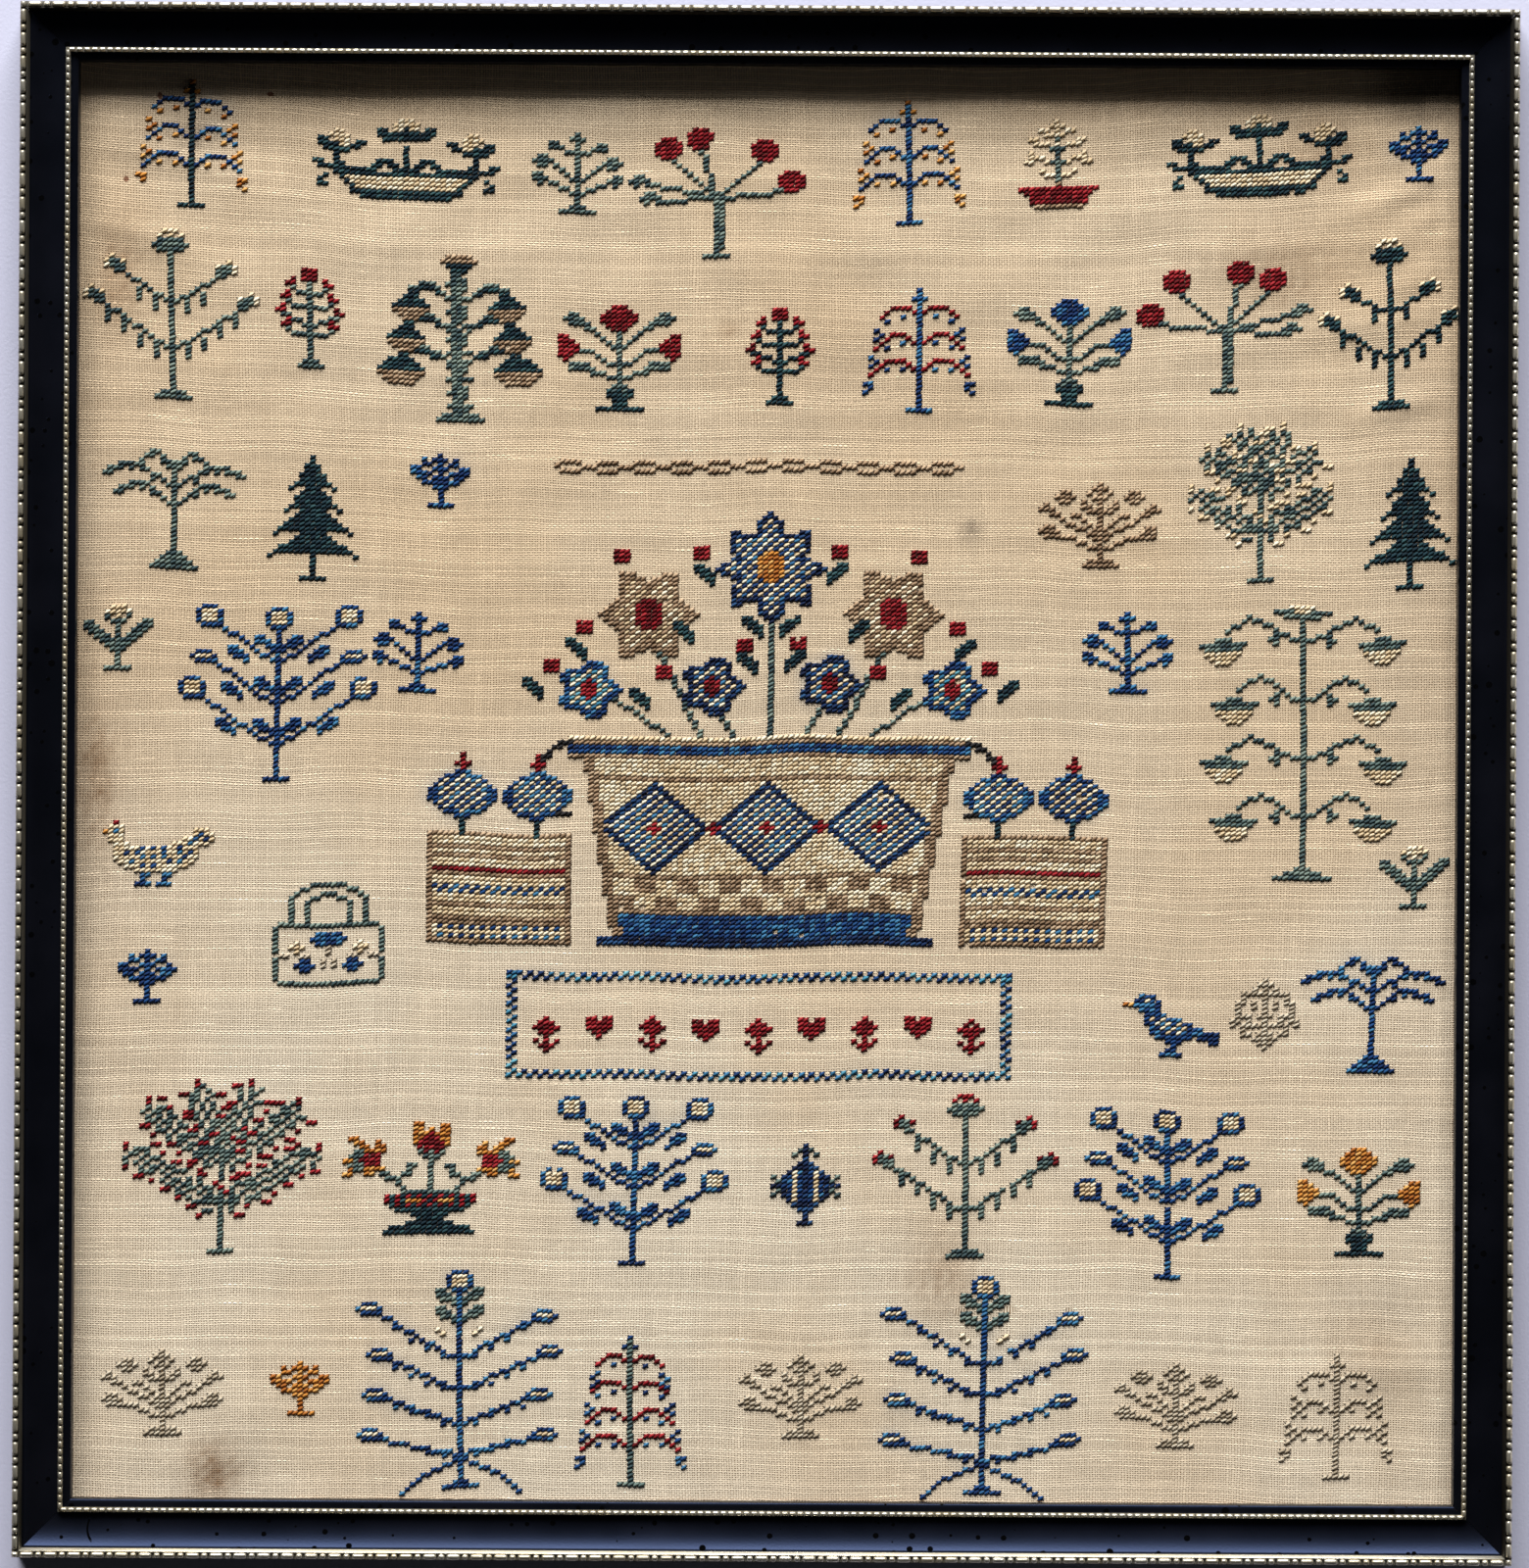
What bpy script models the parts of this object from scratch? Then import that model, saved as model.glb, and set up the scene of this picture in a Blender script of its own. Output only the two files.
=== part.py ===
"""A framed cross stitch sampler: stitched linen laid on a plain board in a mitred black moulding
with two gilt bead strips. Metres, +Z up. It lies on its back, so +Z is the face and +Y the top."""

import math

import bmesh
import bpy

# Driving sizes
FRAME_WIDTH = 0.503
FRAME_HEIGHT = 0.522
RAIL_WIDTH = 0.0192
GAP = 0.0003

# Moulding heights above the surface that the frame lies on
RABBET_DEPTH = 0.0049
SCOOP_TOP = 0.0166
SCOOP_FOOT = 0.0132
LIP_TOP = 0.0130
SIGHT_EDGE_TOP = 0.0125

# Moulding widths, measured inward from the outer side
OUTER_STRIP_WIDTH = 0.0032
OUTER_STRIP_HEIGHT = 0.0029
INNER_STRIP_WIDTH = 0.0016
INNER_STRIP_HEIGHT = 0.0017
LIP_WIDTH = 0.0026
RABBET_WIDTH = 0.0050
SCOOP_POINTS = 9
STRIP_POINTS = 7

# Board and cloth
BOARD_BOTTOM = 0.0008
BOARD_THICKNESS = 0.0022
LINEN_THICKNESS = 0.0012
LINEN_INSET = 0.0010
LINEN_CELLS_ACROSS = 44
LINEN_CELLS_UP = 46
EDGE_FADE = 0.012

# The puckers that show in the linen: middle x and y, half length, angle in degrees, half width, height
PUCKERS = (
    (0.2160, 0.2030, 0.0200, 22.0, 0.0080, 0.0007),
    (0.1950, 0.1560, 0.0420, 9.0, 0.0085, 0.0006),
    (0.2050, -0.2010, 0.0300, 12.0, 0.0080, 0.0006),
    (0.2060, -0.0600, 0.0400, -78.0, 0.0090, 0.0004),
    (-0.2060, 0.2140, 0.0300, -12.0, 0.0085, 0.0006),
    (-0.2130, 0.1850, 0.0220, -20.0, 0.0090, 0.0005),
    (-0.1790, -0.2210, 0.0280, 62.0, 0.0095, 0.0006),
    (-0.2080, -0.0500, 0.0450, 84.0, 0.0090, 0.0004),
    (0.0670, -0.1780, 0.0160, 2.0, 0.0080, 0.0004),
)

# The four sides of the frame, anticlockwise from the bottom: name, quarter turns, length, distance across
SIDES = (
    ("bottom", 0, FRAME_WIDTH, FRAME_HEIGHT),
    ("right", 1, FRAME_HEIGHT, FRAME_WIDTH),
    ("top", 2, FRAME_WIDTH, FRAME_HEIGHT),
    ("left", 3, FRAME_HEIGHT, FRAME_WIDTH),
)


def clear_scene():
    for thing in list(bpy.data.objects):
        bpy.data.objects.remove(thing)


def finish_of(name, colour, roughness, metallic=0.0):
    material = bpy.data.materials.new(name)
    material.use_nodes = True
    surface = material.node_tree.nodes["Principled BSDF"]
    surface.inputs["Base Color"].default_value = (*colour, 1.0)
    surface.inputs["Roughness"].default_value = roughness
    surface.inputs["Metallic"].default_value = metallic
    return material


def make_object(name, shape, material):
    """Closes the bmesh into a named object with its faces pointing out."""
    bmesh.ops.recalc_face_normals(shape, faces=shape.faces)
    mesh = bpy.data.meshes.new(name)
    shape.to_mesh(mesh)
    shape.free()
    mesh.materials.append(material)
    mesh.shade_smooth()
    mesh.set_sharp_from_angle(angle=math.radians(35.0))
    made = bpy.data.objects.new(name, mesh)
    bpy.context.scene.collection.objects.link(made)
    return made


def scoop_profile():
    """The hollow of the moulding: one arc that leaves the outer strip steeply and ends level at the inner strip."""
    start = OUTER_STRIP_WIDTH + GAP
    end = RAIL_WIDTH - LIP_WIDTH - INNER_STRIP_WIDTH - GAP
    run = end - start
    drop = SCOOP_TOP - SCOOP_FOOT
    radius = (run**2 + drop**2) / (2.0 * drop)
    points = []
    for step in range(SCOOP_POINTS):
        across = start + run * step / (SCOOP_POINTS - 1)
        height = SCOOP_FOOT + radius - math.sqrt(radius**2 - (end - across) ** 2)
        points.append((across, height))
    return points


def rail_profile():
    """The wood moulding in section: distance inward from the outer side, and height."""
    rabbet_wall = RAIL_WIDTH - RABBET_WIDTH
    bead_side = RAIL_WIDTH - LIP_WIDTH
    back_and_side = [
        (0.0, 0.0),
        (rabbet_wall, 0.0),
        (rabbet_wall, RABBET_DEPTH),
        (RAIL_WIDTH, RABBET_DEPTH),
    ]
    lip = [
        (RAIL_WIDTH, SIGHT_EDGE_TOP),
        (RAIL_WIDTH - 0.25 * LIP_WIDTH, LIP_TOP - 0.0003),
        (RAIL_WIDTH - 0.55 * LIP_WIDTH, LIP_TOP),
        (bead_side, SCOOP_FOOT),
    ]
    outer_seat = [(0.0, SCOOP_TOP)]
    return back_and_side + lip + scoop_profile()[::-1] + outer_seat


def rounded_strip_profile(inner_side, width, foot, height):
    """A strip with a flat underside, short upright sides and a rounded top."""
    side = 0.35 * height
    crown = height - side
    points = [(inner_side, foot), (inner_side + width, foot)]
    for step in range(STRIP_POINTS):
        turn = math.pi * step / (STRIP_POINTS - 1)
        across = inner_side + width * (0.5 + 0.5 * math.cos(turn))
        points.append((across, foot + side + crown * math.sin(turn)))
    return points


def mitred_length(name, profile, turns, length, across, material):
    """One side of the frame: the profile drawn along it, cut at 45 degrees at both ends."""
    shape = bmesh.new()
    ends = []
    for hand in (-1.0, 1.0):
        ends.append(
            [
                shape.verts.new((hand * (0.5 * length - inward - GAP), inward - 0.5 * across, height))
                for inward, height in profile
            ]
        )
    first, last = ends
    count = len(profile)
    for step in range(count):
        after = (step + 1) % count
        shape.faces.new((first[step], first[after], last[after], last[step]))
    shape.faces.new(first)
    shape.faces.new(last[::-1])
    made = make_object(name, shape, material)
    made.rotation_euler.z = turns * math.pi / 2.0
    return made


def build_frame(wood, gilt):
    outer_strip = rounded_strip_profile(0.0001, OUTER_STRIP_WIDTH, SCOOP_TOP + GAP, OUTER_STRIP_HEIGHT)
    inner_start = RAIL_WIDTH - LIP_WIDTH - INNER_STRIP_WIDTH
    inner_strip = rounded_strip_profile(inner_start, INNER_STRIP_WIDTH, SCOOP_FOOT + GAP, INNER_STRIP_HEIGHT)
    for side, turns, length, across in SIDES:
        mitred_length("rail_" + side, rail_profile(), turns, length, across, wood)
        mitred_length("outer_gilt_" + side, outer_strip, turns, length, across, gilt)
        mitred_length("inner_gilt_" + side, inner_strip, turns, length, across, gilt)


def pucker_height(x, y):
    """How far the linen stands off the board at a point."""
    rise = 0.0
    for middle_x, middle_y, half_length, angle, half_width, height in PUCKERS:
        turn = math.radians(angle)
        away_x = x - middle_x
        away_y = y - middle_y
        along = (away_x * math.cos(turn) + away_y * math.sin(turn)) / half_length
        aside = (away_y * math.cos(turn) - away_x * math.sin(turn)) / half_width
        rise += height * math.exp(-(along**2) - aside**2)
    return rise


def edge_fade(x, y):
    """Goes from 0 where the lip holds the linen down to 1 a short way in from it."""
    from_side = 0.5 * FRAME_WIDTH - RAIL_WIDTH - abs(x)
    from_end = 0.5 * FRAME_HEIGHT - RAIL_WIDTH - abs(y)
    share = min(1.0, max(0.0, min(from_side, from_end) / EDGE_FADE))
    return share * share * (3.0 - 2.0 * share)


def build_linen(linen):
    """One sheet with a flat underside on the board and its puckers raised in the face."""
    bottom = BOARD_BOTTOM + BOARD_THICKNESS + GAP
    half_x = 0.5 * FRAME_WIDTH - RAIL_WIDTH + RABBET_WIDTH - LINEN_INSET
    half_y = 0.5 * FRAME_HEIGHT - RAIL_WIDTH + RABBET_WIDTH - LINEN_INSET
    shape = bmesh.new()
    grid = []
    for row in range(LINEN_CELLS_UP + 1):
        y = half_y * (2.0 * row / LINEN_CELLS_UP - 1.0)
        line = []
        for column in range(LINEN_CELLS_ACROSS + 1):
            x = half_x * (2.0 * column / LINEN_CELLS_ACROSS - 1.0)
            rise = pucker_height(x, y) * edge_fade(x, y)
            line.append(shape.verts.new((x, y, bottom + LINEN_THICKNESS + rise)))
        grid.append(line)
    for row in range(LINEN_CELLS_UP):
        for column in range(LINEN_CELLS_ACROSS):
            shape.faces.new(
                (
                    grid[row][column],
                    grid[row][column + 1],
                    grid[row + 1][column + 1],
                    grid[row + 1][column],
                )
            )
    rim = grid[0] + [line[-1] for line in grid[1:]] + grid[-1][-2::-1] + [line[0] for line in grid[-2:0:-1]]
    foot = [shape.verts.new((vert.co.x, vert.co.y, bottom)) for vert in rim]
    for step in range(len(rim)):
        after = (step + 1) % len(rim)
        shape.faces.new((rim[step], foot[step], foot[after], rim[after]))
    shape.faces.new(foot)
    make_object("sampler_linen", shape, linen)


def build_board(board):
    half_x = 0.5 * FRAME_WIDTH - RAIL_WIDTH + RABBET_WIDTH - GAP
    half_y = 0.5 * FRAME_HEIGHT - RAIL_WIDTH + RABBET_WIDTH - GAP
    shape = bmesh.new()
    bmesh.ops.create_cube(shape, size=1.0)
    bmesh.ops.scale(shape, vec=(2.0 * half_x, 2.0 * half_y, BOARD_THICKNESS), verts=shape.verts)
    middle = BOARD_BOTTOM + 0.5 * BOARD_THICKNESS
    bmesh.ops.translate(shape, vec=(0.0, 0.0, middle), verts=shape.verts)
    make_object("backing_board", shape, board)


def main():
    clear_scene()
    black_paint = finish_of("black_paint", (0.006, 0.006, 0.008), 0.28)
    gilt = finish_of("gilt", (0.72, 0.58, 0.32), 0.30, 1.0)
    linen = finish_of("linen", (0.60, 0.48, 0.33), 0.90)
    board = finish_of("board", (0.23, 0.15, 0.09), 0.85)
    build_frame(black_paint, gilt)
    build_linen(linen)
    build_board(board)


main()
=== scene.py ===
import math

import bmesh
import bpy
import numpy as np
from mathutils import Matrix, Vector


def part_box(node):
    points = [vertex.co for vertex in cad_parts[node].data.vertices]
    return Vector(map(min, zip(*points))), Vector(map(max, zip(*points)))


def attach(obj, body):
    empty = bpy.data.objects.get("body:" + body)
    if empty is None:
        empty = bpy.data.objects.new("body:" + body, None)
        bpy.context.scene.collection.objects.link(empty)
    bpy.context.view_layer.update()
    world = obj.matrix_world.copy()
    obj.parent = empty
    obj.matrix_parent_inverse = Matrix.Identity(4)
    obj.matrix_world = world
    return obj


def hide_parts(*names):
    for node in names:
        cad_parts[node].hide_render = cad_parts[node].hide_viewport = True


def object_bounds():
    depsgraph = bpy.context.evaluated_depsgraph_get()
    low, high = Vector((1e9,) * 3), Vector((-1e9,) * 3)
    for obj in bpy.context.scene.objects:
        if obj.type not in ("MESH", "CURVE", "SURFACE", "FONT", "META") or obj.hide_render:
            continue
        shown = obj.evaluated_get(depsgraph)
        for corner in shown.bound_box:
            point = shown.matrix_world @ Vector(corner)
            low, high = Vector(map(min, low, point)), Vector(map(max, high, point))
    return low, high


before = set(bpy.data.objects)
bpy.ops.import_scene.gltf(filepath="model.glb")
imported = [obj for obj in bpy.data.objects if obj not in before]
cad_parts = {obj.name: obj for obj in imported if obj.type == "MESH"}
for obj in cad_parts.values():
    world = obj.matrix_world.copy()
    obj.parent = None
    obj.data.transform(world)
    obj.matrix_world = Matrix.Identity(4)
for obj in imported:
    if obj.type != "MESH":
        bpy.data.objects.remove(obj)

cad_low, cad_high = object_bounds()


# Black moulding
# Four lengths of pine with a scooped face, mitred and pinned at the corners. The face is primed, painted
# black and varnished to a half gloss; the back and the rabbet are left as bare wood.
TOUCH_GAP = 0.0003
RABBET_DEPTH = 0.0049
LIP_DROP = 0.0005
MITRE_GAP = 0.00005
# The varnish's reflections are tinted blue, as from a sky: a painted reflection colour.
SKY_GLOSS = (0.36, 0.50, 1.0, 1.0)
SCRATCH_MIDDLE = (-0.2195, -0.2512, 0.0148)
SCRATCH_RADIUS = 0.0070
# The scratch is the part of that circle that lies in this spot: middle x and y, half width, half height
SCRATCH_END = (SCRATCH_MIDDLE[0] - SCRATCH_RADIUS, SCRATCH_MIDDLE[1] - 0.0008, 0.0018, 0.0060)

rail_low, rail_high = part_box("rail_bottom")
board_low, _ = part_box("backing_board")
outer_low, outer_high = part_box("outer_gilt_bottom")
inner_low, inner_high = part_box("inner_gilt_bottom")
frame_width = cad_high.x - cad_low.x
frame_height = cad_high.y - cad_low.y
rail_width = rail_high.y - rail_low.y

SIDES = (
    ("bottom", 0, frame_width, frame_height),
    ("right", 1, frame_height, frame_width),
    ("top", 2, frame_width, frame_height),
    ("left", 3, frame_height, frame_width),
)


class NodeValue:
    """What a node gives out. Arithmetic on it adds one Math node for each step."""

    def __init__(self, socket):
        self.socket = socket
        self.tree = socket.id_data

    def __add__(self, other):
        return work_out("ADD", self, other)

    def __sub__(self, other):
        return work_out("SUBTRACT", self, other)

    def __rsub__(self, other):
        return work_out("SUBTRACT", other, self)

    def __mul__(self, other):
        return work_out("MULTIPLY", self, other)

    def __truediv__(self, other):
        return work_out("DIVIDE", self, other)

    def __pow__(self, other):
        return work_out("POWER", self, other)


def feed(node, socket, value):
    """Links a value to one of a node's inputs."""
    value.tree.links.new(value.socket, node.inputs[socket])


def add_node(tree, kind, values=None, **settings):
    """Adds a node. values gives its inputs plain values or what other nodes give out."""
    node = tree.nodes.new(kind)
    for name, setting in settings.items():
        setattr(node, name, setting)
    for socket, value in (values or {}).items():
        if isinstance(value, NodeValue):
            feed(node, socket, value)
        else:
            node.inputs[socket].default_value = value
    return node


def made(tree, kind, values=None, output=0, **settings):
    """Adds a node and gives one of its outputs."""
    return NodeValue(add_node(tree, kind, values, **settings).outputs[output])


def work_out(operation, *values):
    """One step of arithmetic on node values and plain numbers."""
    tree = next(value.tree for value in values if isinstance(value, NodeValue))
    return made(tree, "ShaderNodeMath", dict(enumerate(values)), operation=operation)


def share_of(value, start, end):
    """0 at start and 1 at end, held outside them."""
    values = {"Value": value, "From Min": start, "From Max": end}
    return made(value.tree, "ShaderNodeMapRange", values, interpolation_type="SMOOTHSTEP")


def blend_colours(tree, share, first, second, blend="MIX"):
    """The first colour where share is 0 and the second where it is 1."""
    values = {0: share, 6: first, 7: second}
    return made(tree, "ShaderNodeMix", values, 2, data_type="RGBA", blend_type=blend)


def noise(place, scale, detail):
    """Soft cloudy noise, about scale patches in a metre."""
    values = {"Vector": place, "Scale": scale, "Detail": detail}
    return made(place.tree, "ShaderNodeTexNoise", values, "Fac")


def place_on(tree, kind="Object"):
    """The place on the piece, in metres, or on its own flat map."""
    return made(tree, "ShaderNodeTexCoord", output=kind)


def colour(red, green, blue):
    """A colour as the eye reads it, 0 to 255, turned into the light values that the shader takes."""
    lights = []
    for level in (red / 255.0, green / 255.0, blue / 255.0):
        lights.append(((level + 0.055) / 1.055) ** 2.4 if level > 0.04 else level / 12.92)
    return tuple(lights) + (1.0,)


def start_material(name, **surface_values):
    material = bpy.data.materials.new(name)
    material.use_nodes = True
    tree = material.node_tree
    surface = tree.nodes["Principled BSDF"]
    for socket, value in surface_values.items():
        surface.inputs[socket.replace("_", " ")].default_value = value
    return material, tree, surface


def raise_surface(surface, height, distance, strength=1.0):
    values = {"Height": height, "Distance": distance, "Strength": strength}
    feed(surface, "Normal", made(height.tree, "ShaderNodeBump", values))


def spot_share(place, row):
    """1 inside a small ragged spot and 0 outside it."""
    middle_x, middle_y, half_width, half_height = row
    kind = "ShaderNodeVectorMath"
    away = made(place.tree, kind, {0: place, 1: (middle_x, middle_y, 0.0)}, operation="SUBTRACT")
    values = {0: away, 1: (1.0 / half_width, 1.0 / half_height, 0.0)}
    away = made(place.tree, kind, values, operation="MULTIPLY")
    length = made(place.tree, kind, {0: away}, "Value", operation="LENGTH")
    return share_of(length + noise(place, 700.0, 2.0), 1.65, 1.25)


def black_paint():
    material, tree, surface = start_material("black_paint", Specular_IOR_Level=0.34)
    place = place_on(tree)
    cloudy = noise(place, 34.0, 5.0)
    fine = noise(place, 1500.0, 2.0)
    specks = add_node(tree, "ShaderNodeTexVoronoi", {"Vector": place, "Scale": 230.0}, feature="F1")
    size = NodeValue(specks.outputs["Color"]) * 0.42 - 0.10
    speck = work_out("LESS_THAN", NodeValue(specks.outputs["Distance"]), size)
    rough = cloudy * 0.16 + 0.28
    values = {0: place, 1: SCRATCH_MIDDLE}
    middle = made(tree, "ShaderNodeVectorMath", values, "Value", operation="DISTANCE")
    away = work_out("ABSOLUTE", middle - SCRATCH_RADIUS)
    near_end = spot_share(place, SCRATCH_END)
    scratch = share_of(away, 0.00048, 0.00026) * near_end
    speck = work_out("MAXIMUM", speck, scratch)
    rough = rough + speck * 0.8
    gloss = blend_colours(tree, speck, SKY_GLOSS, (0.02, 0.02, 0.02, 1.0))
    feed(surface, "Specular Tint", gloss)
    feed(surface, "Roughness", rough)
    tone = blend_colours(tree, share_of(cloudy, 0.35, 0.75), colour(6, 6, 7), colour(11, 10, 12))
    tone = blend_colours(tree, speck, tone, colour(3, 3, 4))
    feed(surface, "Base Color", tone)
    raise_surface(surface, fine + speck * 1.5, 0.00002)
    return material


def bare_pine():
    material, tree, surface = start_material("bare_pine", Roughness=0.8)
    length_and_girth = place_on(tree, "UV")
    values = {"Vector": length_and_girth, "Scale": (9.0, 420.0, 1.0)}
    grain = noise(made(tree, "ShaderNodeMapping", values), 1.0, 6.0)
    dust = noise(length_and_girth, 30.0, 4.0)
    wood = blend_colours(tree, grain, colour(112, 78, 48), colour(176, 138, 94))
    aged = blend_colours(tree, share_of(dust, 0.4, 0.7), wood, colour(96, 74, 54))
    feed(surface, "Base Color", aged)
    raise_surface(surface, grain, 0.0002, 0.6)
    return material


def arc(middle, radii, start, end, steps):
    """Points on an ellipse, between two angles in degrees."""
    turns = [math.radians(start + (end - start) * step / steps) for step in range(steps + 1)]
    x, y = middle
    return [(x + radii[0] * math.cos(turn), y + radii[1] * math.sin(turn)) for turn in turns]


def mitred_mesh(name, profile, length, across, first_bare=0):
    """A profile of (distance inward, height) drawn along one side, both ends cut at 45 degrees. The first
    faces of it, up to first_bare, take the second material."""
    shape = bmesh.new()
    uv = shape.loops.layers.uv.new("length_and_girth")
    stations = 12
    girth = [0.0]
    for step in range(len(profile)):
        after = profile[(step + 1) % len(profile)]
        girth.append(girth[-1] + math.dist(profile[step], after))
    lines = []
    for station in range(stations + 1):
        share = 2.0 * station / stations - 1.0
        line = []
        for inward, height in profile:
            half = 0.5 * length - inward - MITRE_GAP
            line.append(shape.verts.new((share * half, inward - 0.5 * across, height)))
        lines.append(line)
    for near, far in zip(lines, lines[1:]):
        for step in range(len(profile)):
            after = (step + 1) % len(profile)
            face = shape.faces.new((near[step], near[after], far[after], far[step]))
            face.material_index = 1 if step < first_bare else 0
            for loop, around in zip(face.loops, (step, step + 1, step + 1, step)):
                loop[uv].uv = (0.5 + loop.vert.co.x / length, girth[around])
    shape.faces.new(lines[0])
    shape.faces.new(lines[-1][::-1])
    bmesh.ops.recalc_face_normals(shape, faces=shape.faces)
    mesh = bpy.data.meshes.new(name)
    shape.to_mesh(mesh)
    shape.free()
    return mesh


def new_object(name, data):
    thing = bpy.data.objects.new(name, data)
    bpy.context.scene.collection.objects.link(thing)
    return thing


def finish_piece(name, mesh, turns, replaced=(), sharp=40.0):
    """Puts a mesh in its place round the frame and fixes it to the frame's body."""
    mesh.transform(Matrix.Rotation(turns * math.pi / 2.0, 4, "Z"))
    mesh.shade_smooth()
    if sharp:
        mesh.set_sharp_from_angle(angle=math.radians(sharp))
    piece = new_object(name, mesh)
    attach(piece, "root")
    if replaced:
        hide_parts(*replaced)
    return piece


def moulding_profile():
    """The section of the moulding: the back, the rabbet, the lip, up the scoop and down the side."""
    rabbet_wall = board_low.y - rail_low.y - TOUCH_GAP
    strip_wall = outer_high.y - rail_low.y + TOUCH_GAP
    bead_wall = inner_low.y - rail_low.y - TOUCH_GAP
    lip_start = inner_high.y - rail_low.y
    foot = inner_low.z - TOUCH_GAP
    crest = rail_high.z
    edge = 0.0005
    back = [(edge, 0.0), (rabbet_wall, 0.0), (rabbet_wall, RABBET_DEPTH), (rail_width, RABBET_DEPTH)]
    nose_radii = (rail_width - lip_start - 0.0003, LIP_DROP)
    nose = arc((lip_start + 0.0003, foot - LIP_DROP), nose_radii, 0, 90, 8)
    run = bead_wall - strip_wall
    drop = crest - foot
    radius = (run**2 + drop**2) / (2.0 * drop)
    scoop = []
    for step in range(25):
        inward = bead_wall - run * step / 24
        scoop.append((inward, foot + radius - math.sqrt(radius**2 - (bead_wall - inward) ** 2)))
    shoulder = arc((edge, crest - edge), (edge, edge), 90, 180, 4)
    return back + nose + scoop + shoulder + [(0.0, edge)]


paint = black_paint()
pine = bare_pine()
for side, turns, length, across in SIDES:
    rail_mesh = mitred_mesh("moulding_" + side, moulding_profile(), length, across, first_bare=3)
    rail_mesh.materials.append(paint)
    rail_mesh.materials.append(pine)
    finish_piece("moulding_" + side, rail_mesh, turns, ["rail_" + side])


# Gilt strips
# Pressed ornament, gilded and rubbed. The outer strip is a row of reels and round beads with a plain
# sloping fillet inside it; the inner strip is a close row of small barrel beads beside the lip.
BEAD_ROW_PITCH = 0.0079
REEL_WIDTH = 0.0018
REEL_LENGTH = 0.0045
ROUND_BEAD_LENGTH = 0.0021
SMALL_BEAD_PITCH = 0.00257
SMALL_BEAD_LENGTH = 0.00218
# A bead's flattened face is rolled outwards by this angle in radians, which makes the bead this much
# higher and wider than its own size
BEAD_ROLL = 0.42
BEAD_SPREAD = 1.17
# A bead is drawn from this many rings, and its ends are this share of its thickness
BEAD_RINGS = 7
BEAD_END_SHARE = 0.42

# How dark each side's reels, its fillet and its small beads are made: tarnish, and painted shade on the
# sides that face away from the light
SHADE_AND_TARNISH = {
    "bottom": (0.12, 0.0, 0.1),
    "right": (0.35, 0.98, 0.3),
    "top": (0.0, 0.98, 0.0),
    "left": (0.5, 0.93, 0.4),
}


def mark_on(tree, name):
    """A number that the mesh carries under this name."""
    return made(tree, "ShaderNodeAttribute", output="Fac", attribute_name=name)


def gilding():
    material, tree, surface = start_material("gilt", Metallic=0.8)
    place = place_on(tree)
    worn = noise(place, 90.0, 6.0)
    fine = noise(place, 1400.0, 3.0)
    leaf = blend_colours(tree, share_of(worn, 0.35, 0.7), colour(241, 232, 211), colour(222, 207, 175))
    leaf = blend_colours(tree, share_of(fine, 0.64, 0.76), leaf, colour(150, 124, 82))
    # Dirt, tarnish and painted shade turn the leaf nearly black in the hollows under the beads, at their
    # ends and on the sides away from the light.
    dirt_and_shade = work_out("MAXIMUM", mark_on(tree, "shade_dirt_and_tarnish"), mark_on(tree, "bead_end"))
    leaf = blend_colours(tree, dirt_and_shade, leaf, colour(18, 14, 10))
    feed(surface, "Base Color", leaf)
    rough = worn * 0.24 + 0.19
    feed(surface, "Roughness", rough + dirt_and_shade * 0.3)
    raise_surface(surface, fine, 0.00003)
    return material


def vector_of(tree, values):
    """A vector from the parts that are given by name; the others are 0."""
    return made(tree, "ShaderNodeCombineXYZ", values)


def parts_of(vector):
    """The x, y and z of a vector."""
    node = add_node(vector.tree, "ShaderNodeSeparateXYZ", {0: vector})
    return [NodeValue(socket) for socket in node.outputs]


def start_tree(name, kinds):
    """A Geometry Nodes tree with a geometry and the named inputs, and what comes in by each name."""
    tree = bpy.data.node_groups.new(name, "GeometryNodeTree")
    for label, kind in {"Geometry": "Geometry", **kinds}.items():
        tree.interface.new_socket(label, in_out="INPUT", socket_type="NodeSocket" + kind)
    tree.interface.new_socket("Geometry", in_out="OUTPUT", socket_type="NodeSocketGeometry")
    node = tree.nodes.new("NodeGroupInput")
    return tree, {socket.name: NodeValue(socket) for socket in node.outputs if socket.name}


def finish_tree(tree, geometry, material):
    values = {"Geometry": geometry, "Material": material}
    finished = made(tree, "GeometryNodeSetMaterial", values)
    feed(tree.nodes.new("NodeGroupOutput"), 0, finished)
    return tree


def joined(tree, parts):
    join = tree.nodes.new("GeometryNodeJoinGeometry")
    for part in parts:
        feed(join, 0, part)
    return NodeValue(join.outputs[0])


def with_mark(geometry, name, value, domain="POINT"):
    """Stores a number on the geometry under a name that a material or another node can read."""
    kind = "GeometryNodeStoreNamedAttribute"
    values = {"Geometry": geometry, "Name": name, "Value": value}
    return made(geometry.tree, kind, values, data_type="FLOAT", domain=domain)


def stored_mark(tree, name):
    return made(tree, "GeometryNodeInputNamedAttribute", {"Name": name}, data_type="FLOAT")


def random_between(tree, low, high, seed):
    values = {2: low, 3: high, "Seed": seed}
    return made(tree, "FunctionNodeRandomValue", values, 1, data_type="FLOAT")


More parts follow.
